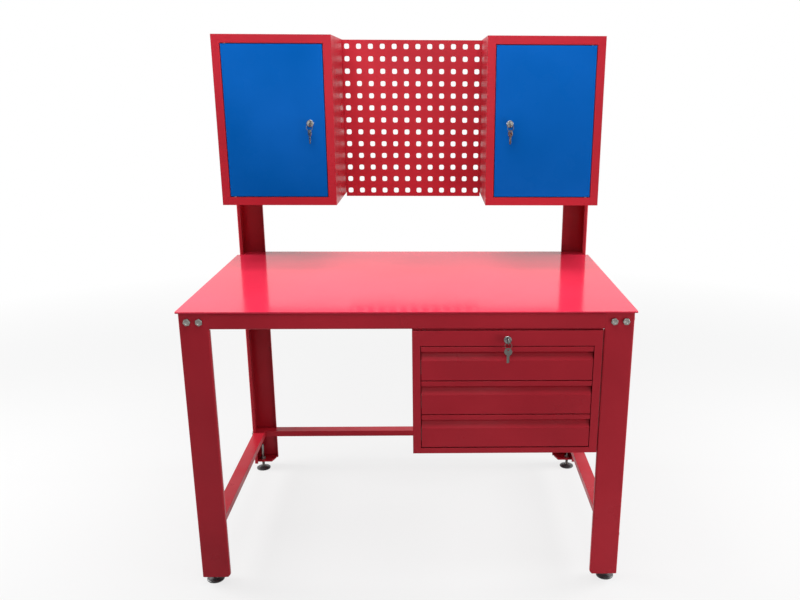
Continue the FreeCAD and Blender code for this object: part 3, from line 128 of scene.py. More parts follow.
# Edges that stay sharp meet at more than these angles
FASTENER_SHARP = math.radians(28)
FOOT_SHARP = math.radians(40)
BOARD_SHARP = math.radians(30)
KEY_SHARP = math.radians(35)

CIRCLE_POINTS = 36

# Bolts and nuts
END_POINTS = 6                     # fewest points in one end of a bolt or nut
HEAD_OVER_SHANK = 1.3              # what reaches more shank radii out belongs to the head
HEAD_CHAMFER = math.radians(30)
HEAD_FLAT_SHARE = 0.94             # flat top of a head against its width over flats
DISH_WIDTH_SHARE = 0.62            # dished middle of a head against its width over flats
DISH_PROFILE_SHARES = ((1.0, 0.0), (0.86, 0.7), (0.6, 1.0))   # of its radius and depth
DISH_DEPTH = 0.0013
WASHER_FACE = 0.0004
END_CHAMFER = 0.0008
SHANK_PLAY = 0.0001                # by which a shank is thinner than its nut's bore
HEAD_TURN = math.radians(137.5)    # from one head to the next

# Levelling feet, their profile in shares of the CAD disc's radius and of FOOT_HEIGHT
FOOT_PROFILE_SHARES = ((0.30, 0.06), (0.80, 0.0), (0.97, 0.0), (1.0, 0.12), (1.0, 0.36),
                       (0.96, 0.44), (0.86, 0.49), (0.50, 0.76), (0.44, 0.82), (0.42, 0.95),
                       (0.38, 1.0), (0.20, 1.0))
FOOT_HEIGHT = 0.010
STUD_RADIUS = 0.005
THREAD_PITCH = 0.0015
THREAD_DEPTH = 0.0009
THREAD_STEPS = 5                   # rows of points to a thread
THREAD_TOP = 0.050                 # above the floor; the rest is inside the leg

# The corner cut off each foot plate at its free end
PLATE_CUT_ACROSS = 0.010
PLATE_CUT_DEEP = 0.030

# Pegboard: its holes' corners, and where a square cell around a hole has its points
PEG_CORNER_SHARE = 0.62            # of half a hole's width
PEG_CORNER_STEPS = 4
PEG_CELL_SHARES = (0.35, 0.70)     # of half a cell, from its middle
PEG_SHEET = 0.0015

# Keys, as large as in the CAD model, and split rings
KEY_THICKNESS = 0.0020
KEY_BLADE = 0.0076
KEY_BLADE_LENGTH = 0.0200
KEY_BOW_RADIUS = 0.0105
KEY_BOW_OFFSET = 0.0115            # bow's centre from the shoulder
KEY_HOLE_RADIUS = 0.0025
KEY_HOLE_OFFSET = 0.0055           # hole's centre from the bow's centre
KEY_BITS = 4
KEY_BIT_DEPTH = 0.0016
KEY_BIT_SHARES = ((0.0, 0.0), (0.4, 1.0), (0.6, 1.0), (1.0, 0.0))   # of a cut's width and depth
KEY_TIP_SHARES = ((0.1, -0.1), (0.0, 0.3), (0.15, 1.0))   # of the blade's width and its half
KEY_EDGE = 0.0003
KEY_EDGE_STEPS = 2
KEY_FLAT = math.radians(1)         # what turns less is one flat face
KEY_RIM = math.radians(60)         # what turns more is a rim
DRAWER_SPARE_TWIST = math.radians(80)
DOOR_SPARE_TWIST = math.radians(35)
RING_COIL_TURNS = 1.9
RING_SIDES = 72                    # to a turn
COIL_GAP_SHARE = 0.06              # of the ring's thickness, between its coils

# Floor, background and area lamps
FLOOR_HALF = 25.0
FLOOR_ROUGHNESS = 0.7
FLOOR_GLOW = 0.78                  # share of plain white in the floor around the bench
FADE = (1.3, 4.0)                  # distances from the middle between which it turns white
AMBIENT = 0.12                     # strength of the light from all sides
SHOWN = 1.0                        # strength of the background as it is seen
LAMPS = (                          # name, place, aim, size and watts
    ("overhead", (0.0, 0.0, 3.0), (0.0, 0.05, 0.8), (2.2, 1.4), 52.0),
    ("front", (-0.05, -1.7, 1.5), (-0.05, 0.0, 1.35), (1.2, 0.9), 3.5),
    ("cabinets", (-0.1, -0.75, 2.05), (-0.1, 0.0, 1.35), (1.5, 0.4), 13.0),
    ("right", (2.4, -1.9, 0.4), (0.3, -0.4, 0.4), (1.0, 0.8), 21.0),
    ("left", (-2.2, 0.3, 1.5), (-0.4, 0.1, 0.2), (1.0, 1.0), 62.0),
    ("right side", (2.2, 0.3, 1.5), (0.4, 0.1, 0.2), (1.0, 1.0), 60.0),
)


# Node helpers

def rgba(colour):
    return (*colour, 1.0)


def shaded(colour, share, lift=0.0):
    return tuple(min(part * share + lift, 1.0) for part in colour)


def new_material(name):
    material = bpy.data.materials.new(name)
    material.use_nodes = True
    tree = material.node_tree
    return material, tree, tree.nodes["Principled BSDF"]


def add(tree, kind, **values):
    node = tree.nodes.new(kind)
    for key, value in values.items():
        setattr(node, key, value)
    return node


def noise(tree, coordinates, scale, detail, roughness=0.5):
    node = add(tree, "ShaderNodeTexNoise")
    node.inputs["Scale"].default_value = scale
    node.inputs["Detail"].default_value = detail
    node.inputs["Roughness"].default_value = roughness
    tree.links.new(coordinates, node.inputs["Vector"])
    return node.outputs["Fac"]


def remap(tree, value, source, target):
    """Takes a value from the range `source` to the range `target`."""
    node = add(tree, "ShaderNodeMapRange")
    for socket, limit in zip(("From Min", "From Max", "To Min", "To Max"), (*source, *target)):
        node.inputs[socket].default_value = limit
    tree.links.new(value, node.inputs["Value"])
    return node.outputs["Result"]


def object_coordinates(tree):
    return add(tree, "ShaderNodeTexCoord").outputs["Object"]


def vary_colour(tree, shader, pattern, window, first, second):
    """Base colour that goes from `first` to `second` as the pattern goes through `window`."""
    factor = remap(tree, pattern, window, (0.0, 1.0))
    node = add(tree, "ShaderNodeMix", data_type="RGBA")
    node.inputs["A"].default_value = rgba(first)
    node.inputs["B"].default_value = rgba(second)
    tree.links.new(factor, node.inputs["Factor"])
    tree.links.new(node.outputs["Result"], shader.inputs["Base Color"])


def vary_roughness(tree, shader, pattern, window, roughness, shares):
    limits = [roughness * share for share in shares]
    tree.links.new(remap(tree, pattern, window, limits), shader.inputs["Roughness"])


def rounded_bump(tree, shader, height, strength, distance, edge):
    """Bump over edges that look rounded by `edge`."""
    bevel = add(tree, "ShaderNodeBevel", samples=EDGE_SAMPLES)
    bevel.inputs["Radius"].default_value = edge
    bump = add(tree, "ShaderNodeBump")
    bump.inputs["Strength"].default_value = strength
    bump.inputs["Distance"].default_value = distance
    tree.links.new(height, bump.inputs["Height"])
    tree.links.new(bevel.outputs["Normal"], bump.inputs["Normal"])
    tree.links.new(bump.outputs["Normal"], shader.inputs["Normal"])


# Materials

def paint(name, colour, roughness, peel, gloss):
    """Powder coat: slight drift in colour, orange peel, and dull patches from handling."""
    material, tree, shader = new_material(name)
    place = object_coordinates(tree)
    vary_colour(tree, shader, noise(tree, place, *PAINT_DRIFT), MIDDLE,
                shaded(colour, PAINT_DARK_SHARE),
                shaded(colour, PAINT_LIGHT_SHARE, PAINT_LIGHT_LIFT))
    vary_roughness(tree, shader, noise(tree, place, *PAINT_SMEARS), SMEARED,
                   roughness, PAINT_ROUGHNESS_SHARES)
    shader.inputs["Specular IOR Level"].default_value = gloss
    rounded_bump(tree, shader, noise(tree, place, *PAINT_PEEL), peel, PAINT_RELIEF, PAINT_EDGE)
    return material


def bare_metal(name, colour, roughness, grain_scale, grain, edge):
    """Plated steel: uneven tint, streaky roughness and a fine grain."""
    material, tree, shader = new_material(name)
    place = object_coordinates(tree)
    shader.inputs["Metallic"].default_value = 1.0
    vary_colour(tree, shader, noise(tree, place, *METAL_TINT), MIDDLE,
                shaded(colour, METAL_DARK_SHARE), colour)
    vary_roughness(tree, shader, noise(tree, place, *METAL_STREAKS), MIDDLE,
                   roughness, METAL_ROUGHNESS_SHARES)
    fine = noise(tree, place, grain_scale, METAL_GRAIN_DETAIL)
    rounded_bump(tree, shader, fine, grain, METAL_RELIEF, edge)
    return material


def moulded(name, colour, roughness):
    """Moulded plastic with a fine grain and some dust."""
    material, tree, shader = new_material(name)
    place = object_coordinates(tree)
    dust = noise(tree, place, *PLASTIC_DUST)
    vary_colour(tree, shader, dust, DUSTY, colour, shaded(colour, DUST_SHARE, DUST_LIFT))
    vary_roughness(tree, shader, dust, MIDDLE, roughness, PLASTIC_ROUGHNESS_SHARES)
    rounded_bump(tree, shader, noise(tree, place, *PLASTIC_GRAIN),
                 PLASTIC_RELIEF_STRENGTH, PLASTIC_RELIEF, PLASTIC_EDGE)
    return material


MATERIALS = {
    "red_paint": paint("red_powder_coat", FRAME_RED, roughness=0.34, peel=0.10, gloss=0.16),
    # worktop paint: the frame's red lightened as painted light from above; its low roughness is
    # its own gloss
    "top_paint": paint("red_gloss_top_painted_light", TOP_RED_PAINTED_LIGHT, roughness=0.12, peel=0.035, gloss=0.12),
    "blue_paint": paint("blue_powder_coat", DOOR_BLUE, roughness=0.28, peel=0.08, gloss=0.03),
    "zinc": bare_metal("zinc_plate", ZINC_GREY, roughness=0.32, grain_scale=900.0,
                       grain=0.15, edge=0.0004),
    "chrome": bare_metal("lock_chrome", CHROME_GREY, roughness=0.16, grain_scale=1200.0,
                         grain=0.06, edge=0.0003),
    "key_steel": bare_metal("key_nickel", NICKEL_GREY, roughness=0.26, grain_scale=1100.0,
                            grain=0.12, edge=0.0002),
    "foot_plastic": moulded("foot_black", FOOT_BLACK, roughness=0.36),
}


def dress_nodes():
    slots = {entry["node"]: entry["material_slot"] for entry in frame["record"]["subparts"]}
    for name, node in frame["nodes"].items():
        node.data.materials.clear()
        node.data.materials.append(MATERIALS[slots[name]])


# Mesh helpers

def node_mesh(name):
    """A copy of a node's mesh, with points that coincide joined."""
    mesh = bmesh.new()
    mesh.from_mesh(frame["nodes"][name].data)
    bmesh.ops.remove_doubles(mesh, verts=mesh.verts, dist=WELD)
    return mesh


def islands(name):
    """The separate solids of a node: each one's points and its lowest and highest corner."""
    mesh = node_mesh(name)
    left = set(mesh.verts)
    found = []
    for start in mesh.verts:
        if start not in left:
            continue
        left.remove(start)
        waiting = [start]
        group = []
        while waiting:
            vert = waiting.pop()
            group.append(vert.co.copy())
            for edge in vert.link_edges:
                other = edge.other_vert(vert)
                if other in left:
                    left.remove(other)
                    waiting.append(other)
        low = Vector([min(point[axis] for point in group) for axis in range(3)])
        high = Vector([max(point[axis] for point in group) for axis in range(3)])
        found.append((group, low, high))
    mesh.free()
    return found


def only(items, kind):
    return [item for item in items if isinstance(item, kind)]


def between(value, low, high):
    return low - NEAR < value < high + NEAR


def new_object(name, data):
    thing = bpy.data.objects.new(name, data)
    bpy.context.scene.collection.objects.link(thing)
    return thing


def piece(name, mesh, slot, body, sharp=None):
    data = bpy.data.meshes.new(name)
    bmesh.ops.recalc_face_normals(mesh, faces=mesh.faces)
    mesh.to_mesh(data)
    mesh.free()
    data.materials.append(MATERIALS[slot])
    thing = new_object(name, data)
    if sharp is not None:
        data.shade_smooth()
        data.set_sharp_from_angle(angle=sharp)
    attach(thing, body)
    return thing


def band(mesh, lower, upper):
    """A band of faces between two loops with the same number of points."""
    count = len(lower)
    for index in range(count):
        after = (index + 1) % count
        mesh.faces.new((lower[index], lower[after], upper[after], upper[index]))


def stack(mesh, rings, place, closed=False):
    """Joins rings of local points into a skin, capped or with its ends joined."""
    rows = [[mesh.verts.new(place @ point) for point in ring] for ring in rings]
    for lower, upper in zip(rows, rows[1:]):
        band(mesh, lower, upper)
    if closed:
        band(mesh, rows[-1], rows[0])
    else:
        mesh.faces.new(rows[0][::-1])
        mesh.faces.new(rows[-1])


def push_out(mesh, faces, way):
    """Extrudes faces by `way` and returns all that this made."""
    made = bmesh.ops.extrude_face_region(mesh, geom=faces)["geom"]
    bmesh.ops.translate(mesh, verts=only(made, bmesh.types.BMVert), vec=way)
    return made


def polar(radius, angle):
    return radius * math.cos(angle), radius * math.sin(angle)


def circle(radius, height):
    return [Vector((*polar(radius, 2 * math.pi * index / CIRCLE_POINTS), height))
            for index in range(CIRCLE_POINTS)]


def hexagon(flats, height):
    """A hexagon with CIRCLE_POINTS points; `height` gives each one's height from its radius."""
    ring = []
    for index in range(CIRCLE_POINTS):
        angle = 2 * math.pi * index / CIRCLE_POINTS
        radius = flats / 2 / math.cos((angle % (math.pi / 3)) - math.pi / 6)
        ring.append(Vector((*polar(radius, angle), height(radius))))
    return ring


def chamfered(flats, top):
    """The height of a head's sides, cut by the cone that rounds off its corners."""
    flat_radius = flats / 2 * HEAD_FLAT_SHARE

    def height(radius):
        return top - max(radius - flat_radius, 0.0) * math.tan(HEAD_CHAMFER)
    return height


def facing(way, origin, pointer="Z"):
    """A frame at `origin` whose axis `pointer` runs along `way`."""
    return Matrix.Translation(origin) @ way.to_track_quat(pointer, "Y").to_matrix().to_4x4()


# Bolts and nuts

def span(points, axis):
    return max(point[axis] for point in points) - min(point[axis] for point in points)


def widths(points, axis):
    """How wide points spread along the two axes other than `axis`."""
    return [span(points, other) for other in range(3) if other != axis]


def reach(point, middle, axis):
    """How far a point is from the middle along those two axes, the greater of both."""
    return max(abs(point[other] - middle[other]) for other in range(3) if other != axis)


def fastener_ends(group, low, high):
    """The axis along which both ends are whole polygons, and the points of these ends."""
    for axis in range(3):
        near = [point for point in group if point[axis] < low[axis] + NEAR]
        far = [point for point in group if point[axis] > high[axis] - NEAR]
        if min(len(near), len(far)) >= END_POINTS:
            return axis, near, far
    raise ValueError("a fastener has no axis")


def bolt_ends(group, low, high):
    """A bolt's axis, the way that its head points along it, and the points of head and tail."""
    axis, near, far = fastener_ends(group, low, high)
    beside = (axis + 1) % 3
    if span(near, beside) > span(far, beside):
        return axis, -1.0, near, far
    return axis, 1.0, far, near


def shank_radius(tail_end, axis):
    return max(widths(tail_end, axis)) / 2


def seated(middle, axis, sign, seat):
    """A frame on a fastener's axis at `seat`, its Z along that axis."""
    way = Vector((0.0, 0.0, 0.0))
    way[axis] = sign
    origin = middle.copy()
    origin[axis] = seat
    return facing(way, origin)


def dished_bolt(mesh, place, radius, length, head, flats):
    """A bolt whose head is seated at the frame `place` and points along its Z."""
    flat = flats / 2 * HEAD_FLAT_SHARE
    dish = flats / 2 * DISH_WIDTH_SHARE
    rings = [circle(radius - END_CHAMFER, -length), circle(radius, END_CHAMFER - length),
             circle(radius, 0.0), circle(flat, 0.0), circle(flat, WASHER_FACE),
             hexagon(flats, lambda _: WASHER_FACE), hexagon(flats, chamfered(flats, head)),
             circle(flat, head)]
    rings += [circle(dish * out, head - DISH_DEPTH * down) for out, down in DISH_PROFILE_SHARES]
    stack(mesh, rings, place)


def open_nut(mesh, place, bore, height, flats):
    flat = flats / 2 * HEAD_FLAT_SHARE
    top_corners = chamfered(flats, height)
    rings = [circle(bore, END_CHAMFER), circle(bore + END_CHAMFER, 0.0), circle(flat, 0.0),
             hexagon(flats, lambda radius: height - top_corners(radius)),
             hexagon(flats, top_corners), circle(flat, height),
             circle(bore + END_CHAMFER, height), circle(bore, height - END_CHAMFER)]
    stack(mesh, rings, place, closed=True)


def sleeve(mesh, place, bore, height, radius):
    rings = [circle(bore, 0.0), circle(radius, 0.0), circle(radius, height), circle(bore, height)]
    stack(mesh, rings, place, closed=True)


def bolts():
    mesh = bmesh.new()
    for count, (group, low, high) in enumerate(islands("frame_bolts")):
        axis, sign, head_end, tail_end = bolt_ends(group, low, high)
        radius = shank_radius(tail_end, axis)
        middle = (low + high) / 2
        face = head_end[0][axis]
        tail = tail_end[0][axis]
        wide = [point[axis] for point in group
                if reach(point, middle, axis) > radius * HEAD_OVER_SHANK]
        seat = min(wide, key=lambda value: abs(value - tail))
        turn = Matrix.Rotation(count * HEAD_TURN, 4, "Z")
        place = seated(middle, axis, sign, seat) @ turn
        flats = min(widths(head_end, axis))
        dished_bolt(mesh, place, radius - SHANK_PLAY, abs(tail - seat), abs(face - seat), flats)
    thing = piece("bolts", mesh, "zinc", "bench", FASTENER_SHARP)
    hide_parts("frame_bolts")


def nuts():
    """Hexagonal nuts, bored to the bolts' size, and round sleeves."""
    axis, _, _, tail_end = bolt_ends(*islands("frame_bolts")[0])
    bolt_radius = shank_radius(tail_end, axis)
    mesh = bmesh.new()
    for group, low, high in islands("frame_nuts"):
        axis, near, _ = fastener_ends(group, low, high)
        middle = (low + high) / 2
        place = seated(middle, axis, 1.0, low[axis])
        height = high[axis] - low[axis]
        narrow, wide = sorted(widths(near, axis))
        if wide - narrow < ALIKE:
            bore = min(reach(point, middle, axis) for point in near)
            sleeve(mesh, place, bore, height, narrow / 2)
        else:
            open_nut(mesh, place, bolt_radius, height, narrow)
    thing = piece("nuts", mesh, "zinc", "bench", FASTENER_SHARP)
    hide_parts("frame_nuts")


# Levelling feet

def threaded(radius, low, high):
    """Rings of a stud with one spiral thread."""
    rows = max(2, round((high - low) / THREAD_PITCH * THREAD_STEPS))
    rings = []
    for row in range(rows + 1):
        height = low + (high - low) * row / rows
        ring = []
        for index in range(CIRCLE_POINTS):
            phase = (height / THREAD_PITCH - index / CIRCLE_POINTS) % 1.0
            depth = THREAD_DEPTH * (1.0 - abs(2.0 * phase - 1.0))
            angle = 2 * math.pi * index / CIRCLE_POINTS
            ring.append(Vector((*polar(radius - depth, angle), height)))
        rings.append(ring)
    return rings


def levelling_foot(corner):
    node = "levelling_foot_" + corner
    body = "foot_" + corner
    low, high = (Vector(end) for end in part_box(node))
    place = Matrix.Translation(((low.x + high.x) / 2, (low.y + high.y) / 2, 0.0))
    radius = (high.x - low.x) / 2
    disc = bmesh.new()
    rings = [circle(out * radius, up * FOOT_HEIGHT) for out, up in FOOT_PROFILE_SHARES]
    stack(disc, rings, place)
    pad = piece("foot_pad_" + corner, disc, "foot_plastic", body, FOOT_SHARP)
    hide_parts(node)
    stud = bmesh.new()
    rings = threaded(STUD_RADIUS, FOOT_HEIGHT - THREAD_PITCH, THREAD_TOP)
    rings += [circle(STUD_RADIUS, THREAD_TOP + THREAD_PITCH),
              circle(STUD_RADIUS, high.z - END_CHAMFER),
              circle(STUD_RADIUS - END_CHAMFER, high.z)]
    stack(stud, rings, place)
    piece("foot_stud_" + corner, stud, "zinc", body, FOOT_SHARP)


def foot_plates():
    """The plates in the legs, each without the corner nearest to the bench's middle."""
    mesh = node_mesh("foot_plates")
    for _, low, high in islands("foot_plates"):
        corner = Vector((min(low.x, high.x, key=abs), min(low.y, high.y, key=abs), low.z))
        across = math.copysign(PLATE_CUT_ACROSS, corner.x)
        deep = math.copysign(PLATE_CUT_DEEP, corner.y)
        way = Vector((-1.0 / across, -1.0 / deep, 0.0)).normalized()
        verts = [vert for vert in mesh.verts
                 if all(between(vert.co[axis], low[axis], high[axis]) for axis in range(3))]
        edges = [edge for edge in mesh.edges if all(vert in verts for vert in edge.verts)]
        faces = [face for face in mesh.faces if all(vert in verts for vert in face.verts)]
        cut = bmesh.ops.bisect_plane(mesh, geom=verts + edges + faces, dist=WELD,
                                     plane_co=corner + Vector((across, 0.0, 0.0)),
                                     plane_no=way, clear_outer=True)
        bmesh.ops.edgeloop_fill(mesh, edges=only(cut["geom_cut"], bmesh.types.BMEdge))
    plates = piece("trimmed_foot_plates", mesh, "red_paint", "bench")
    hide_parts("foot_plates")


# Pegboard

def spans_of_holes(axis, low, high):
    """The low and high ends of the sheet's square holes along `axis`."""
    ends = {round(vert.co[axis], DECIMALS) for vert in frame["nodes"]["pegboard"].data.vertices
            if abs(vert.co.y - low.y) < NEAR}
    inset = PEG_SHEET + ALIKE
    inside = sorted(end for end in ends if low[axis] + inset < end < high[axis] - inset)
    return list(zip(inside[::2], inside[1::2]))


def cell_limits(spans, low, high):
    """The limits of the cells around holes: midway between them, and the sheet's ends."""
    midways = [(first[1] + second[0]) / 2 for first, second in zip(spans, spans[1:])]
    return list(zip([low] + midways, midways + [high]))


def middle_and_half(ends):
    return sum(ends) / 2, (ends[1] - ends[0]) / 2


def hole_and_cell(across, upward, cell_across, cell_upward):
    """Matching points of a hole with round corners and of the cell around it, as (x, z)."""
    x, half = middle_and_half(across)
    z, _ = middle_and_half(upward)
    cell_x, half_width = middle_and_half(cell_across)
    cell_z, half_height = middle_and_half(cell_upward)
    radius = half * PEG_CORNER_SHARE
    near, far = PEG_CELL_SHARES
    places = ((1.0, near), (1.0, far), (1.0, 1.0), (far, 1.0), (near, 1.0))
    hole = []
    cell = []
    for quarter in range(4):
        turn = Matrix.Rotation(quarter * math.pi / 2, 2)
        for step, place in enumerate(places):
            right, up = polar(radius, math.pi / 2 * step / PEG_CORNER_STEPS)
            point = turn @ Vector((half - radius + right, half - radius + up))
            hole.append((x + point.x, z + point.y))
            point = turn @ Vector(place)
            cell.append((cell_x + point.x * half_width, cell_z + point.y * half_height))
    return hole, cell


def perforated(columns, rows, wide, tall, depth):
    """A skin in the plane Y = `depth`, with holes where `columns` and `rows` cross."""
    mesh = bmesh.new()
    for across, cell_across in zip(columns, cell_limits(columns, *wide)):
        for upward, cell_upward in zip(rows, cell_limits(rows, *tall)):
            hole, cell = ([mesh.verts.new((x, depth, z)) for x, z in loop]
                          for loop in hole_and_cell(across, upward, cell_across, cell_upward))
            band(mesh, hole, cell)
    bmesh.ops.remove_doubles(mesh, verts=mesh.verts, dist=WELD)
    return mesh


def border_side(value, low, high):
    """-1 at the low end, 1 at the high end and 0 elsewhere."""
    if abs(value - low) < WELD:
        return -1
    return 1 if abs(value - high) < WELD else 0


def pegboard():
    """The perforated sheet with its edges folded back."""
    low, high = (Vector(corner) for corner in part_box("pegboard"))
    wide = (low.x + PEG_SHEET, high.x - PEG_SHEET)
    tall = (low.z + PEG_SHEET, high.z - PEG_SHEET)
    mesh = perforated(spans_of_holes(0, low, high), spans_of_holes(2, low, high),
                      wide, tall, low.y)
    border = [edge for edge in mesh.edges if len(edge.link_faces) == 1
              and all(border_side(vert.co.x, *wide) or border_side(vert.co.z, *tall)
                      for vert in edge.verts)]
    grown = bmesh.ops.extrude_edge_only(mesh, edges=border)["geom"]
    for vert in only(grown, bmesh.types.BMVert):
        vert.co.x += PEG_SHEET * border_side(vert.co.x, *wide)
        vert.co.z += PEG_SHEET * border_side(vert.co.z, *tall)
    sheet = push_out(mesh, mesh.faces[:], (0.0, PEG_SHEET, 0.0))
    folded = [face for face in only(sheet, bmesh.types.BMFace)
              if not all(between(vert.co.x, *wide) and between(vert.co.z, *tall)
                         for vert in face.verts)]
    push_out(mesh, folded, (0.0, high.y - low.y - PEG_SHEET, 0.0))
    bmesh.ops.delete(mesh, geom=folded, context="FACES")
    board = piece("perforated_board", mesh, "red_paint", "bench", BOARD_SHARP)
    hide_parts("pegboard")


# Keys and rings

def key_outline():
    """The key seen from the side as (along the blade, across), shoulder at 0."""
    half = KEY_BLADE / 2
    step = KEY_BLADE_LENGTH / (2 * KEY_BITS + 1)
    start = math.asin(half / KEY_BOW_RADIUS)
    points = []
    for index in range(CIRCLE_POINTS + 1):
        angle = start + (2 * math.pi - 2 * start) * index / CIRCLE_POINTS
        along, across = polar(KEY_BOW_RADIUS, angle)
        points.append((along - KEY_BOW_OFFSET, across))
    for bit in range(KEY_BITS):
        dip = (2 * bit + 1) * step
        points += [(dip + step * along, KEY_BIT_DEPTH * down - half)
                   for along, down in KEY_BIT_SHARES]
    points += [(KEY_BLADE_LENGTH - KEY_BLADE * back, half * across)
               for back, across in KEY_TIP_SHARES]
    return points


def key_hole():
    middle = -KEY_BOW_OFFSET - KEY_HOLE_OFFSET
    points = []
    for index in range(CIRCLE_POINTS):
        along, across = polar(KEY_HOLE_RADIUS, 2 * math.pi * index / CIRCLE_POINTS)
        points.append((middle + along, across))
    return points


def key_mesh(mesh, place):
    """A flat key in the local plane X = 0, its blade along +Y, its edges broken."""
    flat = bmesh.new()
    for loop in (key_outline(), key_hole()):
        verts = [flat.verts.new((-KEY_THICKNESS / 2, along, across)) for along, across in loop]
        for first, second in zip(verts, verts[1:] + verts[:1]):
            flat.edges.new((first, second))
    bmesh.ops.triangle_fill(flat, edges=flat.edges[:], use_beauty=True)
    bmesh.ops.dissolve_limit(flat, angle_limit=KEY_FLAT, verts=flat.verts, edges=flat.edges)
    push_out(flat, flat.faces[:], (KEY_THICKNESS, 0.0, 0.0))
    bmesh.ops.recalc_face_normals(flat, faces=flat.faces)
    rims = [edge for edge in flat.edges if len(edge.link_faces) == 2
            and edge.calc_face_angle(0.0) > KEY_RIM
            and abs(edge.verts[0].co.x - edge.verts[1].co.x) < KEY_THICKNESS / 2]
    bmesh.ops.bevel(flat, geom=rims, offset=KEY_EDGE, segments=KEY_EDGE_STEPS, affect="EDGES")
    flat.transform(place)
    data = bpy.data.meshes.new("key_part")
    flat.to_mesh(data)
    flat.free()
    mesh.from_mesh(data)
    bpy.data.meshes.remove(data)


def hanging(hole, twist):
    """Where a key hangs by its hole, turned about the vertical."""
    return (Matrix.Translation(hole) @ Matrix.Rotation(twist, 4, "Z")
            @ Matrix.Rotation(-math.pi / 2, 4, "X")
            @ Matrix.Translation((0.0, KEY_BOW_OFFSET + KEY_HOLE_OFFSET, 0.0)))


def coil(mesh, centre, radius, wire):
    """A split ring of flat wire about Y: two coils that lie against each other."""
    steps = round(RING_SIDES * RING_COIL_TURNS)
    thick = wire / 2 * (1 - COIL_GAP_SHARE)
    rows = []
    for step in range(steps + 1):
        angle = math.pi / 2 + 2 * math.pi * step / RING_SIDES
        shift = (step / steps - 0.5) * (wire - thick)
        row = []
        for out, side in ((-1, -1), (1, -1), (1, 1), (-1, 1)):
            x, z = polar(radius + out * wire / 2, angle)
            row.append(Vector((x, shift + side * thick / 2, z)))
        rows.append(row)
    stack(mesh, rows, Matrix.Translation(centre))


def ring_and_spare(name, offset, twist, body):
    """Split ring and spare key, shaped as at the right-hand lock and moved by `offset`."""
    solids = sorted(islands("key_ring_right"), key=lambda solid: solid[2].x - solid[1].x)
    _, low, high = solids[-1]
    _, _, spare_high = solids[0]
    wire = high.y - low.y
    centre = (low + high) / 2 + offset
    mesh = bmesh.new()
    coil(mesh, centre, (high.x - low.x - wire) / 2, wire)
    hole_z = spare_high.z - (KEY_BOW_RADIUS - KEY_HOLE_OFFSET) + offset.z
    key_mesh(mesh, hanging(Vector((centre.x, centre.y, hole_z)), twist))
    return piece(name, mesh, "key_steel", body, KEY_SHARP)


def keys():
    right_low = Vector(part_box("key_right")[0])
    for lock in ("left", "right", "drawer"):
        low, high = (Vector(corner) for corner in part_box("key_" + lock))
        middle = (low + high) / 2
        mesh = bmesh.new()
        key_mesh(mesh, Matrix.Translation((middle.x, high.y - KEY_BLADE_LENGTH, middle.z)))
        key = piece("cut_key_" + lock, mesh, "key_steel", "key_" + lock, KEY_SHARP)
        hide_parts("key_" + lock)
        offset = low - right_low
        if lock == "drawer":
            ring_and_spare("split_ring_drawer", offset, DRAWER_SPARE_TWIST, "key_drawer")
        else:
            ring = ring_and_spare("split_ring_" + lock, offset, DOOR_SPARE_TWIST, "ring_" + lock)
            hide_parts("key_ring_" + lock)


# Lights, floor and camera

def camera():
    forward = Vector((math.sin(CAMERA_YAW) * math.cos(CAMERA_PITCH),
                      math.cos(CAMERA_YAW) * math.cos(CAMERA_PITCH), math.sin(CAMERA_PITCH)))
    level = Vector((math.cos(CAMERA_YAW), -math.sin(CAMERA_YAW), 0.0))
    upright = level.cross(forward)
    right = level * math.cos(CAMERA_ROLL) + upright * math.sin(CAMERA_ROLL)
    up = upright * math.cos(CAMERA_ROLL) - level * math.sin(CAMERA_ROLL)
    data = bpy.data.cameras.new("camera")
    data.sensor_width = SENSOR
    data.lens = FOCAL_PIXELS / PHOTO_WIDTH * SENSOR
    data.shift_x = (PHOTO_WIDTH / 2 - AXIS_X) / PHOTO_WIDTH
    data.shift_y = (AXIS_Y - PHOTO_HEIGHT / 2) / PHOTO_WIDTH
    data.clip_end = CAMERA_REACH
    thing = new_object("camera", data)
    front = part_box("worktop")[0][1]
    place = Vector((CAMERA_X, front - CAMERA_AHEAD, CAMERA_HEIGHT))
    turn = Matrix((right, up, -forward)).transposed().to_4x4()
    thing.matrix_world = Matrix.Translation(place) @ turn
    bpy.context.scene.camera = thing


def lamp(name, place, aim, size, watts):
    data = bpy.data.lights.new(name, "AREA")
    data.shape = "RECTANGLE"
    data.size, data.size_y = size
    data.energy = watts
    origin = Vector(place)
    new_object(name, data).matrix_world = facing(Vector(aim) - origin, origin, "-Z")


def seen_directly(tree):
    """1 for camera, glossy and transmission rays."""
    path = add(tree, "ShaderNodeLightPath")
    total = path.outputs["Is Camera Ray"]
    for name in ("Is Glossy Ray", "Is Transmission Ray"):
        highest = add(tree, "ShaderNodeMath", operation="MAXIMUM")
        tree.links.new(total, highest.inputs[0])
        tree.links.new(path.outputs[name], highest.inputs[1])
        total = highest.outputs["Value"]
    return total


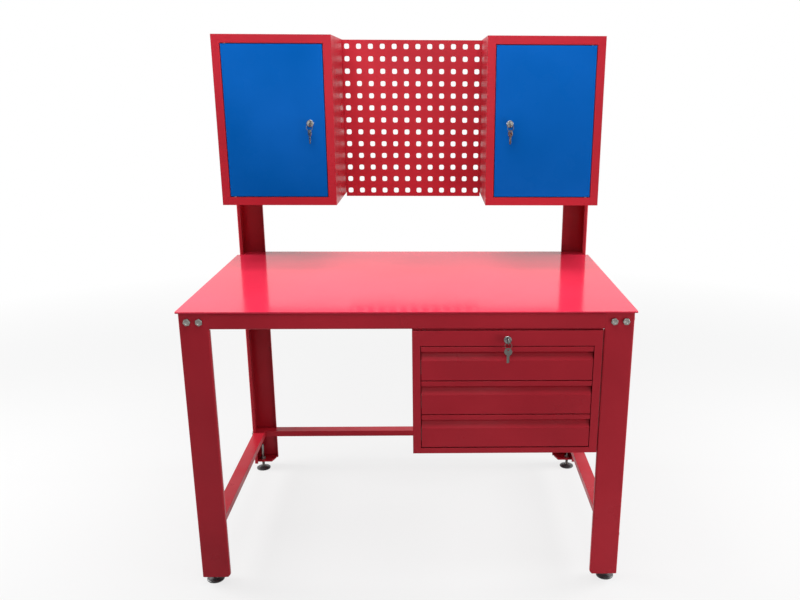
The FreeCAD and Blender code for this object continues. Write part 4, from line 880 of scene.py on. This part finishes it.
def world():
    """White where it is seen, and otherwise a dim light from all sides."""
    studio = bpy.data.worlds.new("studio")
    studio.use_nodes = True
    tree = studio.node_tree
    background = tree.nodes["Background"]
    background.inputs["Color"].default_value = rgba(WHITE)
    strength = remap(tree, seen_directly(tree), (0.0, 1.0), (AMBIENT, SHOWN))
    tree.links.new(strength, background.inputs["Strength"])
    bpy.context.scene.world = studio


def pale_floor():
    """Grey under the bench, so that its shadow stays, and fading to plain white far off."""
    material, tree, shader = new_material("pale_floor")
    shader.inputs["Base Color"].default_value = rgba(FLOOR_GREY)
    shader.inputs["Roughness"].default_value = FLOOR_ROUGHNESS
    glow = add(tree, "ShaderNodeEmission")
    glow.inputs["Color"].default_value = rgba(WHITE)
    distance = add(tree, "ShaderNodeVectorMath", operation="LENGTH")
    tree.links.new(object_coordinates(tree), distance.inputs[0])
    share = remap(tree, distance.outputs["Value"], FADE, (FLOOR_GLOW, 1.0))
    factor = add(tree, "ShaderNodeMath", operation="MULTIPLY")
    tree.links.new(share, factor.inputs[0])
    tree.links.new(seen_directly(tree), factor.inputs[1])
    blend = add(tree, "ShaderNodeMixShader")
    tree.links.new(factor.outputs["Value"], blend.inputs["Fac"])
    tree.links.new(shader.outputs["BSDF"], blend.inputs[1])
    tree.links.new(glow.outputs["Emission"], blend.inputs[2])
    tree.links.new(blend.outputs["Shader"], tree.nodes["Material Output"].inputs["Surface"])
    return material


def floor():
    mesh = bmesh.new()
    corners = ((-1, -1), (1, -1), (1, 1), (-1, 1))
    mesh.faces.new([mesh.verts.new((x * FLOOR_HALF, y * FLOOR_HALF, 0.0)) for x, y in corners])
    data = bpy.data.meshes.new("floor")
    mesh.to_mesh(data)
    mesh.free()
    data.materials.append(pale_floor())
    new_object("floor", data)


dress_nodes()
bolts()
nuts()
for foot in ("front_left", "front_right", "rear_left", "rear_right"):
    levelling_foot(foot)
foot_plates()
pegboard()
keys()

bpy.context.scene.view_settings.view_transform = "Standard"
camera()
world()
floor()
for values in LAMPS:
    lamp(*values)
